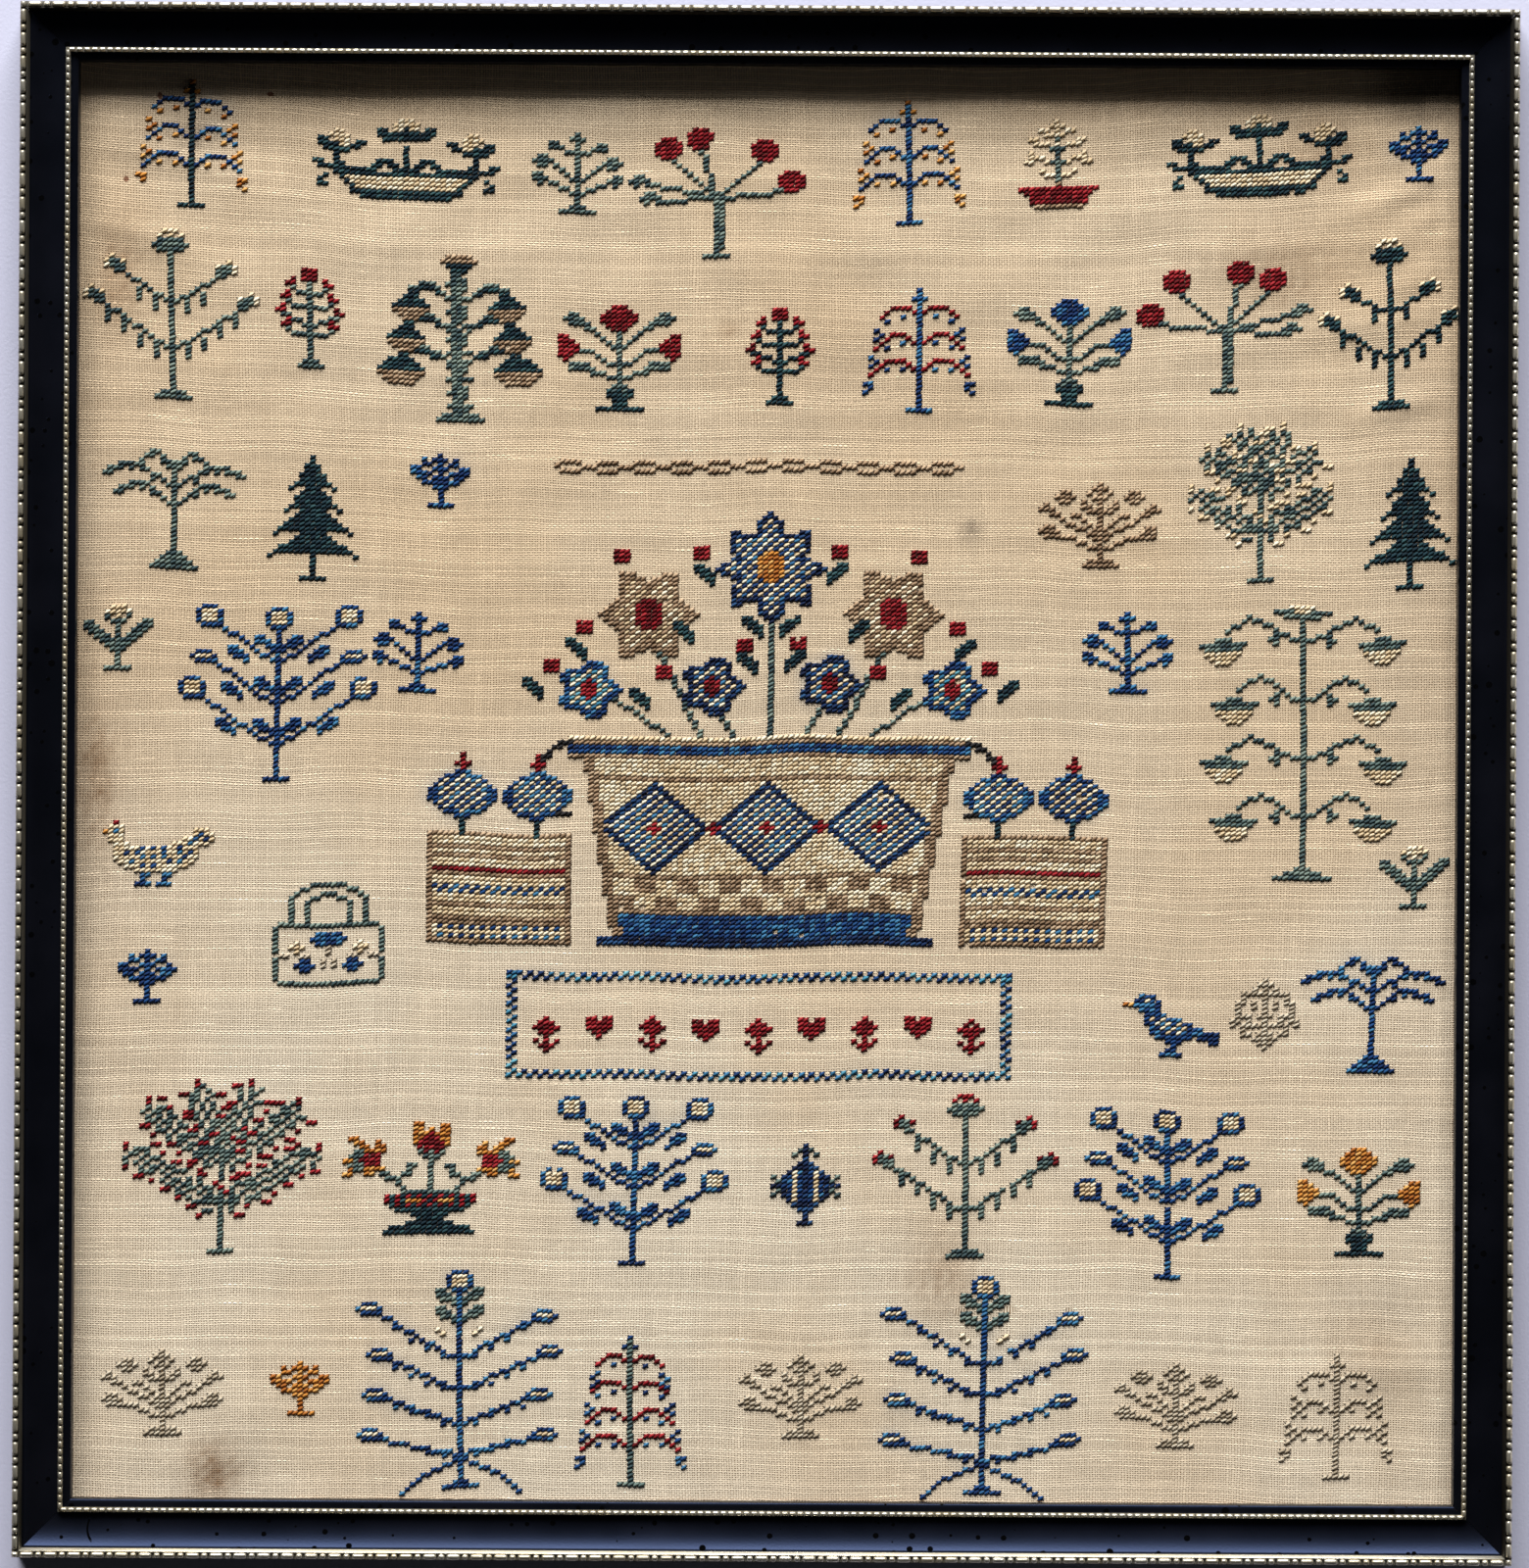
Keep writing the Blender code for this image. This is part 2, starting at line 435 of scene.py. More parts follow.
def pressed_bead(tree, length, thickness, fullness):
    """A bead on the line of its row: full in the middle, flattened in front, with small ends."""
    half = length * 0.5
    start = vector_of(tree, {"X": half * -1.0})
    end = vector_of(tree, {"X": half})
    line = made(tree, "GeometryNodeCurvePrimitiveLine", {"Start": start, "End": end})
    line = made(tree, "GeometryNodeResampleCurve", {"Curve": line, "Count": BEAD_RINGS})
    along = made(tree, "GeometryNodeSplineParameter", output="Factor")
    across = work_out("MULTIPLY_ADD", along, 2.0, -1.0)
    short = 1.0 - work_out("ABSOLUTE", across)
    away = 1.0 - short * short
    crowded = vector_of(tree, {"X": work_out("SIGN", across) * away * half})
    full = 1.0 - away ** fullness
    full = work_out("MAXIMUM", full ** 0.5, BEAD_END_SHARE)
    scale = full * (thickness * 0.5)
    # The ends of each bead are marked so that the gilt can darken them: painted shade in the gaps between
    # beads.
    line = with_mark(line, "bead_end", share_of(away, 0.87, 0.98))
    line = with_mark(line, "bead_scale", scale)
    line = made(tree, "GeometryNodeSetPosition", {"Geometry": line, "Position": crowded})
    scale = stored_mark(tree, "bead_scale")
    ring = made(tree, "GeometryNodeCurvePrimitiveQuadrilateral", {"Width": 2.0, "Height": 2.0})
    values = {"Curve": ring, "Radius": 0.5, "Count": 1}
    ring = made(tree, "GeometryNodeFilletCurve", values, mode="POLY")
    values = {"Curve": line, "Profile Curve": ring, "Scale": scale, "Fill Caps": True}
    bead = made(tree, "GeometryNodeCurveToMesh", values)
    values = {"Geometry": bead, "Rotation": (BEAD_ROLL, 0.0, 0.0)}
    return made(tree, "GeometryNodeTransform", values)


def bead_row_tree():
    """Sets beads along a straight row on top of the strip that comes in."""
    sizes = ["Row Length", "Row Inset", "Row Height", "Pitch", "Bead Length", "Bead Width"]
    sizes += ["Round Length", "Fullness", "Row Shade And Tarnish", "Fillet Shade And Tarnish"]
    kinds = {**dict.fromkeys(sizes, "Float"), "Round Beads": "Bool", "Gilt": "Material"}
    tree, given = start_tree("bead_row", kinds)
    count = work_out("ROUND", given["Row Length"] / given["Pitch"])
    pitch = given["Row Length"] / count
    first = given["Row Length"] * -0.5
    step = vector_of(tree, {"X": pitch})
    rows = []
    kinds = ((0, 0.5, given["Bead Length"], given["Fullness"]), (1, 0.0, given["Round Length"], 6.0))
    for number, shift, length, fullness in kinds:
        values = {"X": work_out("MULTIPLY_ADD", pitch, shift, first), "Y": given["Row Inset"]}
        start = vector_of(tree, {**values, "Z": given["Row Height"]})
        values = {"Count": count, "Start Location": start, "Offset": step}
        line = made(tree, "GeometryNodeMeshLine", values)
        bead = pressed_bead(tree, length, given["Bead Width"], fullness)
        size = random_between(tree, 0.96, 1.03, 3 + number)
        values = {"Points": line, "Instance": bead, "Scale": size}
        rows.append(made(tree, "GeometryNodeInstanceOnPoints", values))
    values = {"Switch": given["Round Beads"], "True": rows[1]}
    round_row = made(tree, "GeometryNodeSwitch", values, input_type="GEOMETRY")
    beads = joined(tree, (rows[0], round_row))
    beads = made(tree, "GeometryNodeRealizeInstances", {"Geometry": beads})
    both = joined(tree, (given["Geometry"], beads))
    _, from_middle, above = parts_of(made(tree, "GeometryNodeInputPosition"))
    # Below the middle of its beads the row is darkened as dirt in the hollows and painted shade; each
    # side's tarnish and painted shade is laid over the row and the fillet.
    radius = given["Bead Width"] * 0.5
    low = given["Row Height"] - radius * 0.9
    high = given["Row Height"] + radius * -0.1
    beside = given["Row Inset"] + radius * 1.15
    in_row = work_out("LESS_THAN", from_middle, beside)
    shade_dirt_and_tarnish = 1.0 - share_of(above, low, high)
    shade_dirt_and_tarnish = work_out("MAXIMUM", shade_dirt_and_tarnish, given["Row Shade And Tarnish"])
    on_fillet = given["Fillet Shade And Tarnish"] * (1.0 - in_row)
    shade_dirt_and_tarnish = work_out("MULTIPLY_ADD", shade_dirt_and_tarnish, in_row, on_fillet)
    marked = with_mark(both, "shade_dirt_and_tarnish", shade_dirt_and_tarnish)
    return finish_tree(tree, marked, given["Gilt"])


def made_by_nodes(mesh, tree, inputs):
    """Runs a Geometry Nodes tree on a mesh and gives the plain mesh that comes out."""
    source = new_object("source", mesh)
    modifier = source.modifiers.new("made", "NODES")
    modifier.node_group = tree
    for item in tree.interface.items_tree:
        if item.in_out == "INPUT" and item.name in inputs:
            modifier[item.identifier] = inputs[item.name]
    evaluated = source.evaluated_get(bpy.context.evaluated_depsgraph_get())
    plain_mesh = bpy.data.meshes.new_from_object(evaluated)
    source.modifiers.remove(modifier)
    bpy.data.objects.remove(source)
    return plain_mesh


def outer_bed_profile():
    """The flat bed under the reels and the fillet that slopes down to the scoop."""
    start = outer_low.y - rail_low.y
    end = outer_high.y - rail_low.y
    seat = outer_low.z
    bed = seat + 0.0014
    crest = start + BEAD_SPREAD * REEL_WIDTH
    foot = arc((end - 0.0003, seat + 0.0003), (0.0003, 0.0003), 0, 60, 3)
    ridge = arc((crest + 0.0002, bed + 0.0006), (0.0002, 0.0002), 50, 180, 4)
    return [(start, seat), (end, seat)] + foot + ridge + [(crest, bed), (start, bed)]


def inner_bed_profile():
    start = inner_low.y - rail_low.y
    end = inner_high.y - rail_low.y
    seat = inner_low.z
    return [(start, seat), (end, seat), (end, seat + 0.0006), (start, seat + 0.0006)]


gilt = gilding()
bead_rows = bead_row_tree()
small_width = (inner_high.y - inner_low.y) / BEAD_SPREAD
reel_inset = outer_low.y - rail_low.y + 0.5 * BEAD_SPREAD * REEL_WIDTH
small_inset = 0.5 * (inner_low.y + inner_high.y) - rail_low.y
reel_row = {
    "Row Height": outer_high.z - 0.5 * BEAD_SPREAD * REEL_WIDTH,
    "Pitch": BEAD_ROW_PITCH,
    "Bead Length": REEL_LENGTH,
    "Bead Width": REEL_WIDTH,
    "Round Length": ROUND_BEAD_LENGTH,
    "Round Beads": True,
    "Fullness": 14.0,
}
small_row = {
    "Row Height": inner_high.z - 0.5 * BEAD_SPREAD * small_width,
    "Pitch": SMALL_BEAD_PITCH,
    "Bead Length": SMALL_BEAD_LENGTH,
    "Bead Width": small_width,
    "Round Length": SMALL_BEAD_LENGTH,
    "Fullness": 8.0,
}
for side, turns, length, across in SIDES:
    reels_dark, fillet_dark, small_dark = SHADE_AND_TARNISH[side]
    for name, bed, profile, inset, row, row_dark in (
        ("reel_and_bead_", "outer_bed", outer_bed_profile(), reel_inset, reel_row, reels_dark),
        ("small_beads_", "inner_bed", inner_bed_profile(), small_inset, small_row, small_dark),
    ):
        inputs = {
            **row,
            "Row Length": length - 2.0 * inset,
            "Row Inset": inset - 0.5 * across,
            "Row Shade And Tarnish": row_dark,
            "Fillet Shade And Tarnish": fillet_dark if bed == "outer_bed" else 0.0,
            "Gilt": gilt,
        }
        strip = made_by_nodes(mitred_mesh(bed, profile, length, across), bead_rows, inputs)
        solid = bed.replace("bed", "gilt_") + side
        finish_piece(name + side, strip, turns, [solid], sharp=60.0)


# Backing board
# One sheet of plain brown pulp board that fills the rabbet and holds the linen flat against the lip.
# It is let in from behind, and nothing of it shows from the front.


def pulp_board():
    material, tree, surface = start_material("pulp_board", Roughness=0.88)
    place = place_on(tree)
    cloudy = noise(place, 7.0, 6.0)
    fibre = noise(place, 700.0, 4.0)
    tone = blend_colours(tree, share_of(cloudy, 0.3, 0.7), colour(110, 84, 58), colour(142, 112, 80))
    tone = blend_colours(tree, share_of(fibre, 0.55, 0.75), tone, colour(84, 62, 42))
    feed(surface, "Base Color", tone)
    raise_surface(surface, fibre, 0.00008)
    return material


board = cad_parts["backing_board"]
board.data.materials.clear()
board.data.materials.append(pulp_board())


# Linen
# One piece of open plain-weave linen, old and unevenly stretched, laid on the board with its edges under
# the lip. Its wefts bow down in the middle, some threads are thick, and damp has stained it.
WARP_PITCH = 0.00090
WEFT_PITCH = 0.00075
LINEN_THICKNESS = 0.0006
LINEN_STEP = 0.0024
RIPPLE_HEIGHT = 0.00028
# How far the wefts bow away from straight at the sides, near the top and near the bottom
TOP_BOW = 0.0085
BOTTOM_BOW = 0.0012
# How far a thread strays from its place, in threads
THREAD_STRAY = 1.6
EDGE_FADE = 0.012
linen_low, linen_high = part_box("sampler_linen")
linen_face = linen_low.z + LINEN_THICKNESS
linen_half = Vector((0.5 * (linen_high.x - linen_low.x), 0.5 * (linen_high.y - linen_low.y)))
# The map of the threads is a tenth larger than the sheet, so that its pulled edges stay inside it
flat_width = 2.2 * linen_half.x
flat_height = 2.2 * linen_half.y

# The puckers that stand off the board: middle x and y, half length, angle in degrees, half width, height
PUCKERS = (
    (0.2127, 0.1999, 0.0200, 22.0, 0.0042, 0.0009),
    (0.1920, 0.1536, 0.0420, 9.0, 0.0050, 0.0006),
    (0.2186, 0.1713, 0.0140, 28.0, 0.0038, 0.0007),
    (0.2262, 0.2310, 0.0060, 32.0, 0.0030, 0.0006),
    (0.2280, 0.2235, 0.0070, 25.0, 0.0030, 0.0006),
    (0.2285, 0.2090, 0.0080, 20.0, 0.0030, 0.0006),
    (0.2240, 0.1925, 0.0100, 26.0, 0.0030, 0.0006),
    (0.2285, 0.1830, 0.0070, 34.0, 0.0030, 0.0005),
    (0.2107, 0.1270, 0.0180, 18.0, 0.0040, 0.0006),
    (0.2019, -0.1979, 0.0300, 12.0, 0.0080, 0.0006),
    (0.2028, -0.0591, 0.0400, -78.0, 0.0090, 0.0004),
    (-0.2028, 0.2107, 0.0300, -12.0, 0.0050, 0.0006),
    (-0.2097, 0.1822, 0.0220, -20.0, 0.0050, 0.0005),
    (-0.1763, -0.2176, 0.0280, 62.0, 0.0095, 0.0006),
    (-0.2048, -0.0492, 0.0450, 84.0, 0.0090, 0.0004),
    (0.0660, -0.1753, 0.0160, 2.0, 0.0080, 0.0004),
)

# Stains in the linen, and long bands along its edges: middle x and y, half width, half height, strength
# and kind
STAINS_AND_SHADE_BANDS = (
    (-0.1949, 0.2174, 0.0100, 0.0055, 0.55, "grey"),
    (-0.2196, 0.1689, 0.0065, 0.0180, 0.50, "brown"),
    (-0.2262, 0.0008, 0.0070, 0.0220, 0.55, "brown"),
    (0.0605, -0.1655, 0.0130, 0.0150, 0.45, "brown"),
    (-0.1850, -0.2331, 0.0095, 0.0110, 0.75, "brown"),
    (0.2225, 0.2308, 0.0130, 0.0070, 0.60, "grey"),
    (0.0687, 0.0859, 0.0040, 0.0035, 0.55, "grey"),
    (0.2048, -0.1896, 0.0150, 0.0220, 0.25, "brown"),
    (-0.0130, 0.1530, 0.0036, 0.0030, 0.40, "brown"),
    # These two long bands along the top edge, under the lip, are dirt and painted shade.
    (-0.1477, 0.2304, 0.0900, 0.0100, 0.14, "brown"),
    (0.1182, 0.2314, 0.1100, 0.0080, 0.28, "brown"),
    # These two long bands darken the linen along its left and right edges.
    (-0.2314, 0.0295, 0.0340, 0.1900, 0.13, "brown"),
    (0.2324, 0.0886, 0.0280, 0.1600, 0.16, "brown"),
    (0.1856, 0.2126, 0.0160, 0.0110, 0.36, "brown"),
    (0.1740, 0.1735, 0.0220, 0.0160, 0.38, "brown"),
    (-0.2117, 0.1871, 0.0130, 0.0300, 0.08, "brown"),
    (0.0295, 0.1428, 0.0500, 0.0200, 0.12, "brown"),
)

# Rust spots, and holes where wefts are gone: middle x and y, half width, half height
RUST_SPOTS = (
    (-0.2057, 0.2308, 0.0009, 0.0013),
    (-0.2169, 0.2027, 0.0010, 0.0010),
    (-0.1685, 0.2314, 0.0013, 0.0008),
)
HOLES = (
    (0.0669, -0.1779, 0.0033, 0.0013),
    (0.0830, -0.1770, 0.0027, 0.0013),
    (0.0720, -0.1684, 0.0028, 0.0009),
    (0.1033, -0.1779, 0.0016, 0.0016),
)


def pucker_height(x, y):
    rise = 0.0
    for middle_x, middle_y, half_length, angle, half_width, height in PUCKERS:
        turn = math.radians(angle)
        along = ((x - middle_x) * math.cos(turn) + (y - middle_y) * math.sin(turn)) / half_length
        aside = ((y - middle_y) * math.cos(turn) - (x - middle_x) * math.sin(turn)) / half_width
        rise = rise + height * np.exp(-(along**2) - aside**2)
    return rise


def linen_height(x, y):
    """The height of the linen's face: puckers and slack ripples, pressed flat near the lip."""
    from_side = 0.5 * frame_width - rail_width - np.abs(x)
    from_end = 0.5 * frame_height - rail_width - np.abs(y)
    share = np.clip(np.minimum(from_side, from_end) / EDGE_FADE, 0.0, 1.0)
    fade = share * share * (3.0 - 2.0 * share)
    ripple = np.sin(74.0 * x + 1.3 * np.sin(23.0 * y)) * np.sin(205.0 * y + 1.6 * np.sin(31.0 * x) + 0.7)
    slack = 0.3 + 0.7 * np.clip((y - 0.05) / 0.15, 0.0, 1.0)
    return linen_face + fade * (pucker_height(x, y) + RIPPLE_HEIGHT * slack * ripple)


def weave_shift(x, y):
    """How far the threads have been pulled off a true grid at a point, across and up."""
    top = np.clip((y - 0.02) / 0.20, 0.0, 1.0)
    bottom = np.clip((-y - 0.12) / 0.10, 0.0, 1.0)
    bow = TOP_BOW * top * (x / 0.23) ** 2 - BOTTOM_BOW * bottom * (x / 0.23) ** 2
    up = bow - 0.004 * x + 0.0006 * np.sin(31.0 * x + 9.0 * y) + 0.00035 * np.sin(83.0 * x + 14.0 * y)
    up = up + 0.00035 * np.sin(140.0 * x - 40.0 * y + 2.0 * np.sin(21.0 * y)) * np.sin(55.0 * y + 9.0 * x)
    across = 0.0011 * np.sin(12.0 * y + 0.8) + 0.0005 * np.sin(37.0 * y + 11.0 * x)
    return across, up


def pulled(x, y):
    """Where a point of the true grid really lies on the stretched cloth."""
    real_x = x
    real_y = y
    for _ in range(4):
        across, up = weave_shift(real_x, real_y)
        real_x = x + across
        real_y = y + up
    return real_x, real_y


def thread_set(across, along, seed, uneven):
    """One set of parallel threads. across counts the threads and along counts the ones that they cross.
    Gives how far a thread covers a point, how round it is there, how bright it is and its number."""
    tree = across.tree
    spot = vector_of(tree, {"X": across * 0.19, "Y": along * 0.04, "Z": seed})
    place = across + noise(spot, 1.0, 3.0) * THREAD_STRAY
    number = work_out("FLOOR", place)
    offset = work_out("ABSOLUTE", work_out("FRACT", place) - 0.5)
    kind = made(tree, "ShaderNodeTexWhiteNoise", {"W": number + seed}, noise_dimensions="1D")
    spot = vector_of(tree, {"X": number * 7.31, "Y": along * 0.04, "Z": seed})
    slub = share_of(noise(spot, 1.0, 3.0), 0.60, 0.74)
    half = kind * (0.10 * uneven) + (0.34 - 0.06 * uneven)
    half = half + slub * (0.14 * uneven)
    cover = share_of(half - offset, -0.08, 0.08)
    crown = 1.0 - (offset / half) ** 2.0
    tone = kind ** 2.0 * (0.36 * uneven)
    tone = tone + (0.92 - 0.12 * uneven)
    tone = tone + slub * (0.34 * uneven)
    return {"cover": cover, "crown": crown, "tone": tone, "number": number}


def linen_cloth():
    material, tree, surface = start_material("linen", Roughness=0.92, Specular_IOR_Level=0.2)
    flat_x, flat_y, _ = parts_of(place_on(tree, "UV"))
    place = place_on(tree)
    across = flat_x * (flat_width / WARP_PITCH)
    up = flat_y * (flat_height / WEFT_PITCH)
    warp = thread_set(across, up, 11.0, 0.22)
    weft = thread_set(up, across, 47.0, 1.0)
    for row in HOLES:
        weft["cover"] = weft["cover"] * (1.0 - spot_share(place, row))
    over = work_out("PINGPONG", warp["number"] + weft["number"], 1.0)
    hidden = weft["cover"] * (1.0 - over)
    warp_share = warp["cover"] * (1.0 - hidden)
    weft_share = weft["cover"] * (1.0 - warp_share)
    filled = warp_share + weft_share
    lit = warp_share * warp["tone"]
    lit = work_out("MULTIPLY_ADD", weft_share, weft["tone"], lit)
    crossing = vector_of(tree, {"X": warp["number"], "Y": weft["number"]})
    crossing = made(tree, "ShaderNodeTexWhiteNoise", {"Vector": crossing}, noise_dimensions="3D")
    lit = lit * work_out("MULTIPLY_ADD", crossing, 0.10, 0.93)
    blotchy = noise(place, 75.0, 4.0)
    lit = lit * work_out("MULTIPLY_ADD", blotchy, 0.20, 0.92)
    cloudy = noise(place, 9.0, 5.0)
    patchy = share_of(cloudy, 0.36, 0.66)
    flax = blend_colours(tree, patchy, colour(255, 236, 207), colour(249, 224, 190))
    # The linen is browner and darker towards the top.
    towards_top = share_of(parts_of(place)[1], -0.13, 0.09)
    flax = blend_colours(tree, towards_top * 0.48, flax, colour(224, 190, 146))
    small = noise(place, 420.0, 3.0)
    ragged = work_out("MULTIPLY_ADD", small, 0.9, 0.55)
    # The brown mark also carries the long bands along the edges; the top ones are partly painted shade.
    for name, stain in (("brown", (156, 120, 86)), ("grey", (118, 104, 90)), ("bleed", (120, 142, 160))):
        flax = blend_colours(tree, mark_on(tree, name) * ragged, flax, colour(*stain))
    for row in RUST_SPOTS:
        rusty = spot_share(place, row) * 0.85
        flax = blend_colours(tree, rusty, flax, colour(120, 62, 36))
    shade = made(tree, "ShaderNodeCombineColor", {0: lit, 1: lit, 2: lit})
    thread = blend_colours(tree, 1.0, flax, shade, "MULTIPLY")
    gap = blend_colours(tree, 1.0, flax, (0.28, 0.20, 0.13, 1.0), "MULTIPLY")
    cloth = blend_colours(tree, filled, gap, thread)
    feed(surface, "Base Color", cloth)
    raised = warp_share * (warp["crown"] * 0.65)
    weft_raised = weft_share * (weft["crown"] * weft["tone"])
    raise_surface(surface, raised + weft_raised, 0.00017, 0.8)
    return material


def soft_noise(x, y, size, seed):
    """Smooth noise from -1 to 1 on arrays, with patches of about the given size."""
    turns = np.random.default_rng(seed).uniform(0.0, 2.0 * math.pi, (6, 2))
    total = 0.0
    for step, (heading, phase) in enumerate(turns):
        pace = 2.0 * math.pi / size * (0.7 + 0.35 * step)
        total = total + np.sin(pace * (x * math.cos(heading) + y * math.sin(heading)) + phase)
    return total / 3.5


def stain_and_shade_strength(x, y, kind):
    total = 0.0
    ragged = 1.0 + 0.35 * soft_noise(x, y, 0.009, 5) + 0.2 * soft_noise(x, y, 0.004, 6)
    for middle_x, middle_y, half_width, half_height, strength, found in STAINS_AND_SHADE_BANDS:
        if found == kind:
            away = ((x - middle_x) / half_width) ** 2 + ((y - middle_y) / half_height) ** 2
            total = total + strength * np.exp(-away) * ragged
    return np.clip(total, 0.0, 0.9)


def edge_cells(x, y, points, reach):
    """How full of the given points each part of a grid is, blurred over about the reach."""
    cells = np.zeros(x.shape)
    step = x[0, 1] - x[0, 0]
    step_up = y[1, 0] - y[0, 0]
    columns = np.clip(np.round((points[:, 0] - x[0, 0]) / step).astype(int), 0, x.shape[1] - 1)
    rows = np.clip(np.round((points[:, 1] - y[0, 0]) / step_up).astype(int), 0, x.shape[0] - 1)
    np.add.at(cells, (rows, columns), 1.0)
    for _ in range(max(1, round(reach / step))):
        padded = np.pad(cells, 1, mode="edge")
        cells = padded[1:-1, 1:-1] * 2 + padded[:-2, 1:-1] + padded[2:, 1:-1]
        cells = (cells + padded[1:-1, :-2] + padded[1:-1, 2:]) / 6
    return cells


def linen_mesh(bleeding):
    """The sheet as one closed mesh: a fine grid for its face and a flat underside on the board."""
    columns = round(2.0 * linen_half.x / LINEN_STEP)
    rows = round(2.0 * linen_half.y / LINEN_STEP)
    side_to_side = np.linspace(-linen_half.x, linen_half.x, columns + 1)
    end_to_end = np.linspace(-linen_half.y, linen_half.y, rows + 1)
    x, y = np.meshgrid(side_to_side, end_to_end)
    z = linen_height(x, y)
    across, up = weave_shift(x, y)
    bleed = edge_cells(x, y, bleeding, 0.004) * 0.5 * np.clip(soft_noise(x, y, 0.09, 8) - 0.25, 0.0, 0.6)
    marks = {"brown": stain_and_shade_strength(x, y, "brown"), "grey": stain_and_shade_strength(x, y, "grey"), "bleed": bleed}
    shape = bmesh.new()
    uv = shape.loops.layers.uv.new("threads")
    layers = {name: shape.verts.layers.float.new(name) for name in marks}
    grid = []
    for row in range(rows + 1):
        line = []
        for column in range(columns + 1):
            vert = shape.verts.new((x[row, column], y[row, column], z[row, column]))
            for name, layer in layers.items():
                vert[layer] = min(0.9, max(0.0, marks[name][row, column]))
            line.append(vert)
        grid.append(line)
    for row in range(rows):
        for column in range(columns):
            places = ((row, column), (row, column + 1), (row + 1, column + 1), (row + 1, column))
            face = shape.faces.new([grid[up_step][side_step] for up_step, side_step in places])
            for loop, place in zip(face.loops, places):
                flat_x = (x[place] - across[place]) / flat_width
                flat_y = (y[place] - up[place]) / flat_height
                loop[uv].uv = (0.5 + flat_x, 0.5 + flat_y)
    rim = grid[0] + [line[-1] for line in grid[1:]]
    rim += grid[-1][-2::-1] + [line[0] for line in grid[-2:0:-1]]
    foot = [shape.verts.new((vert.co.x, vert.co.y, linen_low.z)) for vert in rim]
    sides = list(zip(rim, foot, foot[1:] + foot[:1], rim[1:] + rim[:1]))
    for corners in sides + [foot]:
        face = shape.faces.new(corners)
        for loop in face.loops:
            flat_x = loop.vert.co.x / flat_width
            loop[uv].uv = (0.5 + flat_x, 0.5 + loop.vert.co.y / flat_height)
    bmesh.ops.recalc_face_normals(shape, faces=shape.faces)
    mesh = bpy.data.meshes.new("linen")
    shape.to_mesh(mesh)
    shape.free()
    return mesh


# Cross stitches
# Wool and silk worked over two threads of the linen, each cross a lower leg and an upper leg that leans
# to the right. Flowers, trees and borders stand round a flower basket. The dyes have faded, and a few
# stitches are lost.
STITCH_WIDTH = 0.00180
STITCH_HEIGHT = 0.00150
THREAD_WIDTH = 0.00108
FLATNESS = 0.70
LOWER_CROWN = 0.00014
UPPER_CROWN = 0.00046
LOST_SHARE = 0.004
STRAY_ACROSS = 0.00008
STRAY_UP = 0.00006
# How far the stitching runs in under the lip
UNDER_LIP = 0.0020

# A letter for each thread in the charts, with its darkest, usual and lightest colours
THREADS = {
    "n": ("navy", (12, 26, 56), (20, 44, 84), (40, 78, 120)),
    "b": ("blue", (16, 44, 88), (26, 68, 120), (64, 122, 160)),
    "t": ("turquoise", (40, 96, 130), (66, 134, 160), (106, 166, 180)),
    "g": ("dark_green", (14, 36, 46), (26, 54, 62), (52, 84, 86)),
    "s": ("sage", (60, 78, 80), (94, 112, 106), (128, 142, 130)),
    "r": ("crimson", (96, 6, 14), (136, 12, 24), (166, 40, 46)),
    "e": ("cream", (212, 186, 146), (234, 211, 174), (246, 232, 202)),
    "d": ("tan", (132, 106, 80), (164, 134, 104), (190, 162, 130)),
    "o": ("orange", (168, 98, 36), (204, 134, 54), (220, 166, 92)),
    "k": ("black", (22, 20, 22), (32, 30, 32), (50, 46, 46)),
    "f": ("faded_straw", (164, 148, 124), (186, 170, 146), (206, 192, 168)),
    "w": ("white", (220, 202, 170), (238, 223, 194), (250, 240, 216)),
}
BLUES = "nbt"

# Stitch positions count in crosses from the middle of the cloth
chart = {}


def put(column, row, thread):
    chart[(column, row)] = thread


def run(start, end, thread):
    """A straight run of crosses from one hole to another."""
    steps = max(abs(end[0] - start[0]), abs(end[1] - start[1]), 1)
    for step in range(steps + 1):
        share = step / steps
        column = round(start[0] + (end[0] - start[0]) * share)
        put(column, round(start[1] + (end[1] - start[1]) * share), thread)


def band(row, left, right, thread):
    for column in range(left, right + 1):
        put(column, row, thread)


def stamp(rows, column, row, hand=1, swap=None):
    """Works a chart with its lowest row at the given row. A half chart starts at its middle column."""
    for up, line in enumerate(reversed(rows)):
        for across, mark in enumerate(line):
            if mark != ".":
                put(column + hand * across, row + up, (swap or {}).get(mark, mark))


def mirrored(rows, column, row, swap=None):
    """Works a half chart, drawn from the middle column outwards, on both sides."""
    for hand in (-1, 1):
        stamp(rows, column, row, hand, swap)


def ring(column, row, outline, heart):
    for across in range(-2, 3):
        for up in range(-2, 3):
            if abs(across) + abs(up) < 4:
                put(column + across, row + up, outline if max(abs(across), abs(up)) == 2 else heart)


def ball(column, row, thread, size):
    for across in range(-size, size + 1):
        for up in range(-size, size + 1):
            if across**2 + (0.83 * up) ** 2 <= (size + 0.3) ** 2:
                put(column + across, row + up, thread)


SMALL_FOOT = ("g", "ggg")


def loop(column, row, outline, heart):
    """A small flat ring leaf, five crosses wide and three high."""
    for side in (-1, 1):
        band(row + side, column - 1, column + 1, outline)
        put(column + 2 * side, row, outline)
    band(row, column - 1, column + 1, heart)


def leaf_tuft(column, row, hand, leaf):
    stamp(("..ll", ".lll", "lll.", "l..."), column, row, hand, {"l": leaf})


